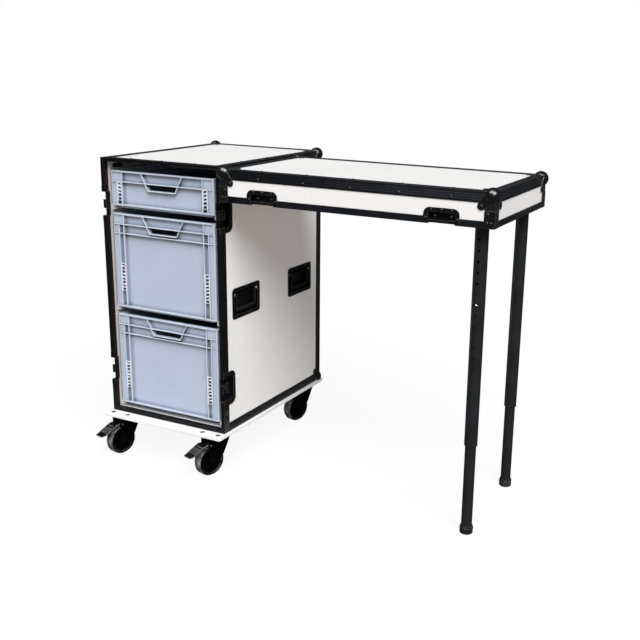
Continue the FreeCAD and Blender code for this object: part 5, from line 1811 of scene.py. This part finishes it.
@dataclass(frozen=True)
class Studio:
    """A white floor and soft, plain light.

    Attributes:
        sky: brightness of the light from all round.
        reflected: brightness of the surroundings in reflections.
        glow: brightness of the ceiling light in reflections.
        glow_place: its direction.
        glow_edge: cosines of its outer and inner half angle.
        key: strength of the lamp above.
        key_turn: its tilt from upright and its turn from the front, in degrees.
        key_spread: its spread in degrees, which softens the shadows.
        floor_size: half of the floor's side.
        floor_tone: colour of the light that the floor throws back.
        floor_seen: the floor's tone for the camera, which the lamps bring to white.
        floor_lift: how far the floor is lifted towards white for the camera.
        floor_reflected: the floor's brightness in reflections.
        floor_roughness: its roughness.
    """

    sky: float = 0.27
    reflected: float = 0.07
    glow: float = 9.0
    glow_place: Triple = (-0.25, -0.45, 0.857)
    glow_edge: tuple[float, float] = (0.93, 0.975)
    key: float = 4.12
    key_turn: tuple[float, float] = (42.0, 40.0)
    key_spread: float = 40.0
    floor_size: float = 30.0
    floor_tone: Colour = (0.41, 0.375, 0.35)
    floor_seen: float = 0.83
    floor_lift: float = 0.9
    floor_reflected: float = 0.07
    floor_roughness: float = 0.9

    def build(self) -> None:
        """Make the world, the lamp and the floor."""
        scene = bpy.context.scene
        scene.view_settings.view_transform = "Standard"
        scene.world = self.world()
        lamp = bpy.data.lights.new("key", "SUN")
        lamp.energy = self.key
        lamp.angle = math.radians(self.key_spread)
        placed = bpy.data.objects.new("key", lamp)
        tilt, turn = (math.radians(angle) for angle in self.key_turn)
        placed.rotation_euler = (tilt, 0, turn)
        scene.collection.objects.link(placed)
        self.floor()

    def world(self) -> bpy.types.World:
        """Return the world: white to the eye, dimmer in reflections and as light.

        Returns:
            The world.
        """
        world = bpy.data.worlds.new("studio")
        world.use_nodes = True
        tree = world.node_tree
        tree.nodes.clear()
        shader = self.plain(tree, self.sky)
        for name, strength in (
            ("Is Glossy Ray", self.ceiling(tree)), ("Is Camera Ray", 1.0),
            ("Is Transmission Ray", 1.0),
        ):
            shader = self.mixed(tree, ray(tree, name), shader, self.plain(tree, strength))
        out = tree.nodes.new("ShaderNodeOutputWorld")
        tree.links.new(shader, out.inputs["Surface"])
        return world

    def ceiling(self, tree: bpy.types.NodeTree) -> bpy.types.NodeSocket:
        """Return the surroundings' brightness in reflections, with one ceiling light.

        Args:
            tree: the node tree to add to.

        Returns:
            The socket with the brightness.
        """
        place = tree.nodes.new("ShaderNodeTexCoord")
        nearness = tree.nodes.new("ShaderNodeVectorMath")
        nearness.operation = "DOT_PRODUCT"
        nearness.inputs[1].default_value = self.glow_place
        tree.links.new(place.outputs["Generated"], nearness.inputs[0])
        span = tree.nodes.new("ShaderNodeMapRange")
        tree.links.new(nearness.outputs["Value"], span.inputs["Value"])
        for name, number in zip(
            ("From Min", "From Max", "To Min", "To Max"),
            (*self.glow_edge, self.reflected, self.glow),
        ):
            span.inputs[name].default_value = number
        return span.outputs["Result"]

    def plain(
        self, tree: bpy.types.NodeTree, strength: object, kind: str = "Background"
    ) -> bpy.types.NodeSocket:
        """Return a plain white light.

        Args:
            tree: the node tree to add to.
            strength: its strength, as a number or a socket.
            kind: Background in the world, Emission on a surface.

        Returns:
            The light's socket.
        """
        node = tree.nodes.new(f"ShaderNode{kind}")
        node.inputs["Color"].default_value = (1.0, 1.0, 1.0, 1.0)
        if isinstance(strength, float):
            node.inputs["Strength"].default_value = strength
        else:
            tree.links.new(strength, node.inputs["Strength"])
        return node.outputs[0]

    def mixed(
        self, tree: bpy.types.NodeTree, share: bpy.types.NodeSocket,
        first: bpy.types.NodeSocket, second: bpy.types.NodeSocket,
    ) -> bpy.types.NodeSocket:
        """Return a mix of two shaders.

        Args:
            tree: the node tree to add to.
            share: the share of the second.
            first: the shader at share 0.
            second: the shader at share 1.

        Returns:
            The mix's socket.
        """
        mix = tree.nodes.new("ShaderNodeMixShader")
        for entry, value in zip(mix.inputs, (share, first, second)):
            tree.links.new(value, entry)
        return mix.outputs[0]

    def floor(self) -> None:
        """Make the floor, which is lifted to white for the camera and keeps its shadow."""
        bm = bmesh.new()
        bmesh.ops.create_grid(bm, x_segments=1, y_segments=1, size=self.floor_size)
        mesh = bpy.data.meshes.new("floor")
        bm.to_mesh(mesh)
        bm.free()
        sheet = Sheet("floor")
        tree = sheet.tree
        seen = sheet.math("MAXIMUM", ray(tree, "Is Camera Ray"), ray(tree, "Is Transmission Ray"))
        sheet.put("Base Color", sheet.blend(self.floor_tone, (self.floor_seen,) * 3, seen))
        sheet.put("Roughness", self.floor_roughness)
        sheet.put("Specular IOR Level", 0.0)
        lit = self.mixed(
            tree, sheet.math("MULTIPLY", seen, self.floor_lift), sheet.shader.outputs[0],
            self.plain(tree, 1.0, "Emission"),
        )
        shown = self.mixed(
            tree, ray(tree, "Is Glossy Ray"), lit,
            self.plain(tree, self.floor_reflected, "Emission"),
        )
        out = next(n for n in tree.nodes if n.type == "OUTPUT_MATERIAL")
        tree.links.new(shown, out.inputs["Surface"])
        mesh.materials.append(sheet.material)
        ground = bpy.data.objects.new("floor", mesh)
        bpy.context.scene.collection.objects.link(ground)


def ray(tree: bpy.types.NodeTree, kind: str) -> bpy.types.NodeSocket:
    """Return 1 for the rays of one kind and 0 for the others.

    Args:
        tree: the node tree to add to.
        kind: the name of the kind.

    Returns:
        The socket with the value.
    """
    return tree.nodes.new("ShaderNodeLightPath").outputs[kind]


def main() -> None:
    """Build every part of the picture."""
    logging.basicConfig(level=logging.INFO, format="%(message)s")
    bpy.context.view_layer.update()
    shell = CaseShell()
    for part in (
        Viewpoint(), Studio(), shell, SideHardware(shell.box), StackingBoxes(), Castors(),
        Table(), Legs(),
    ):
        part.build()


if __name__ == "__main__":
    main()
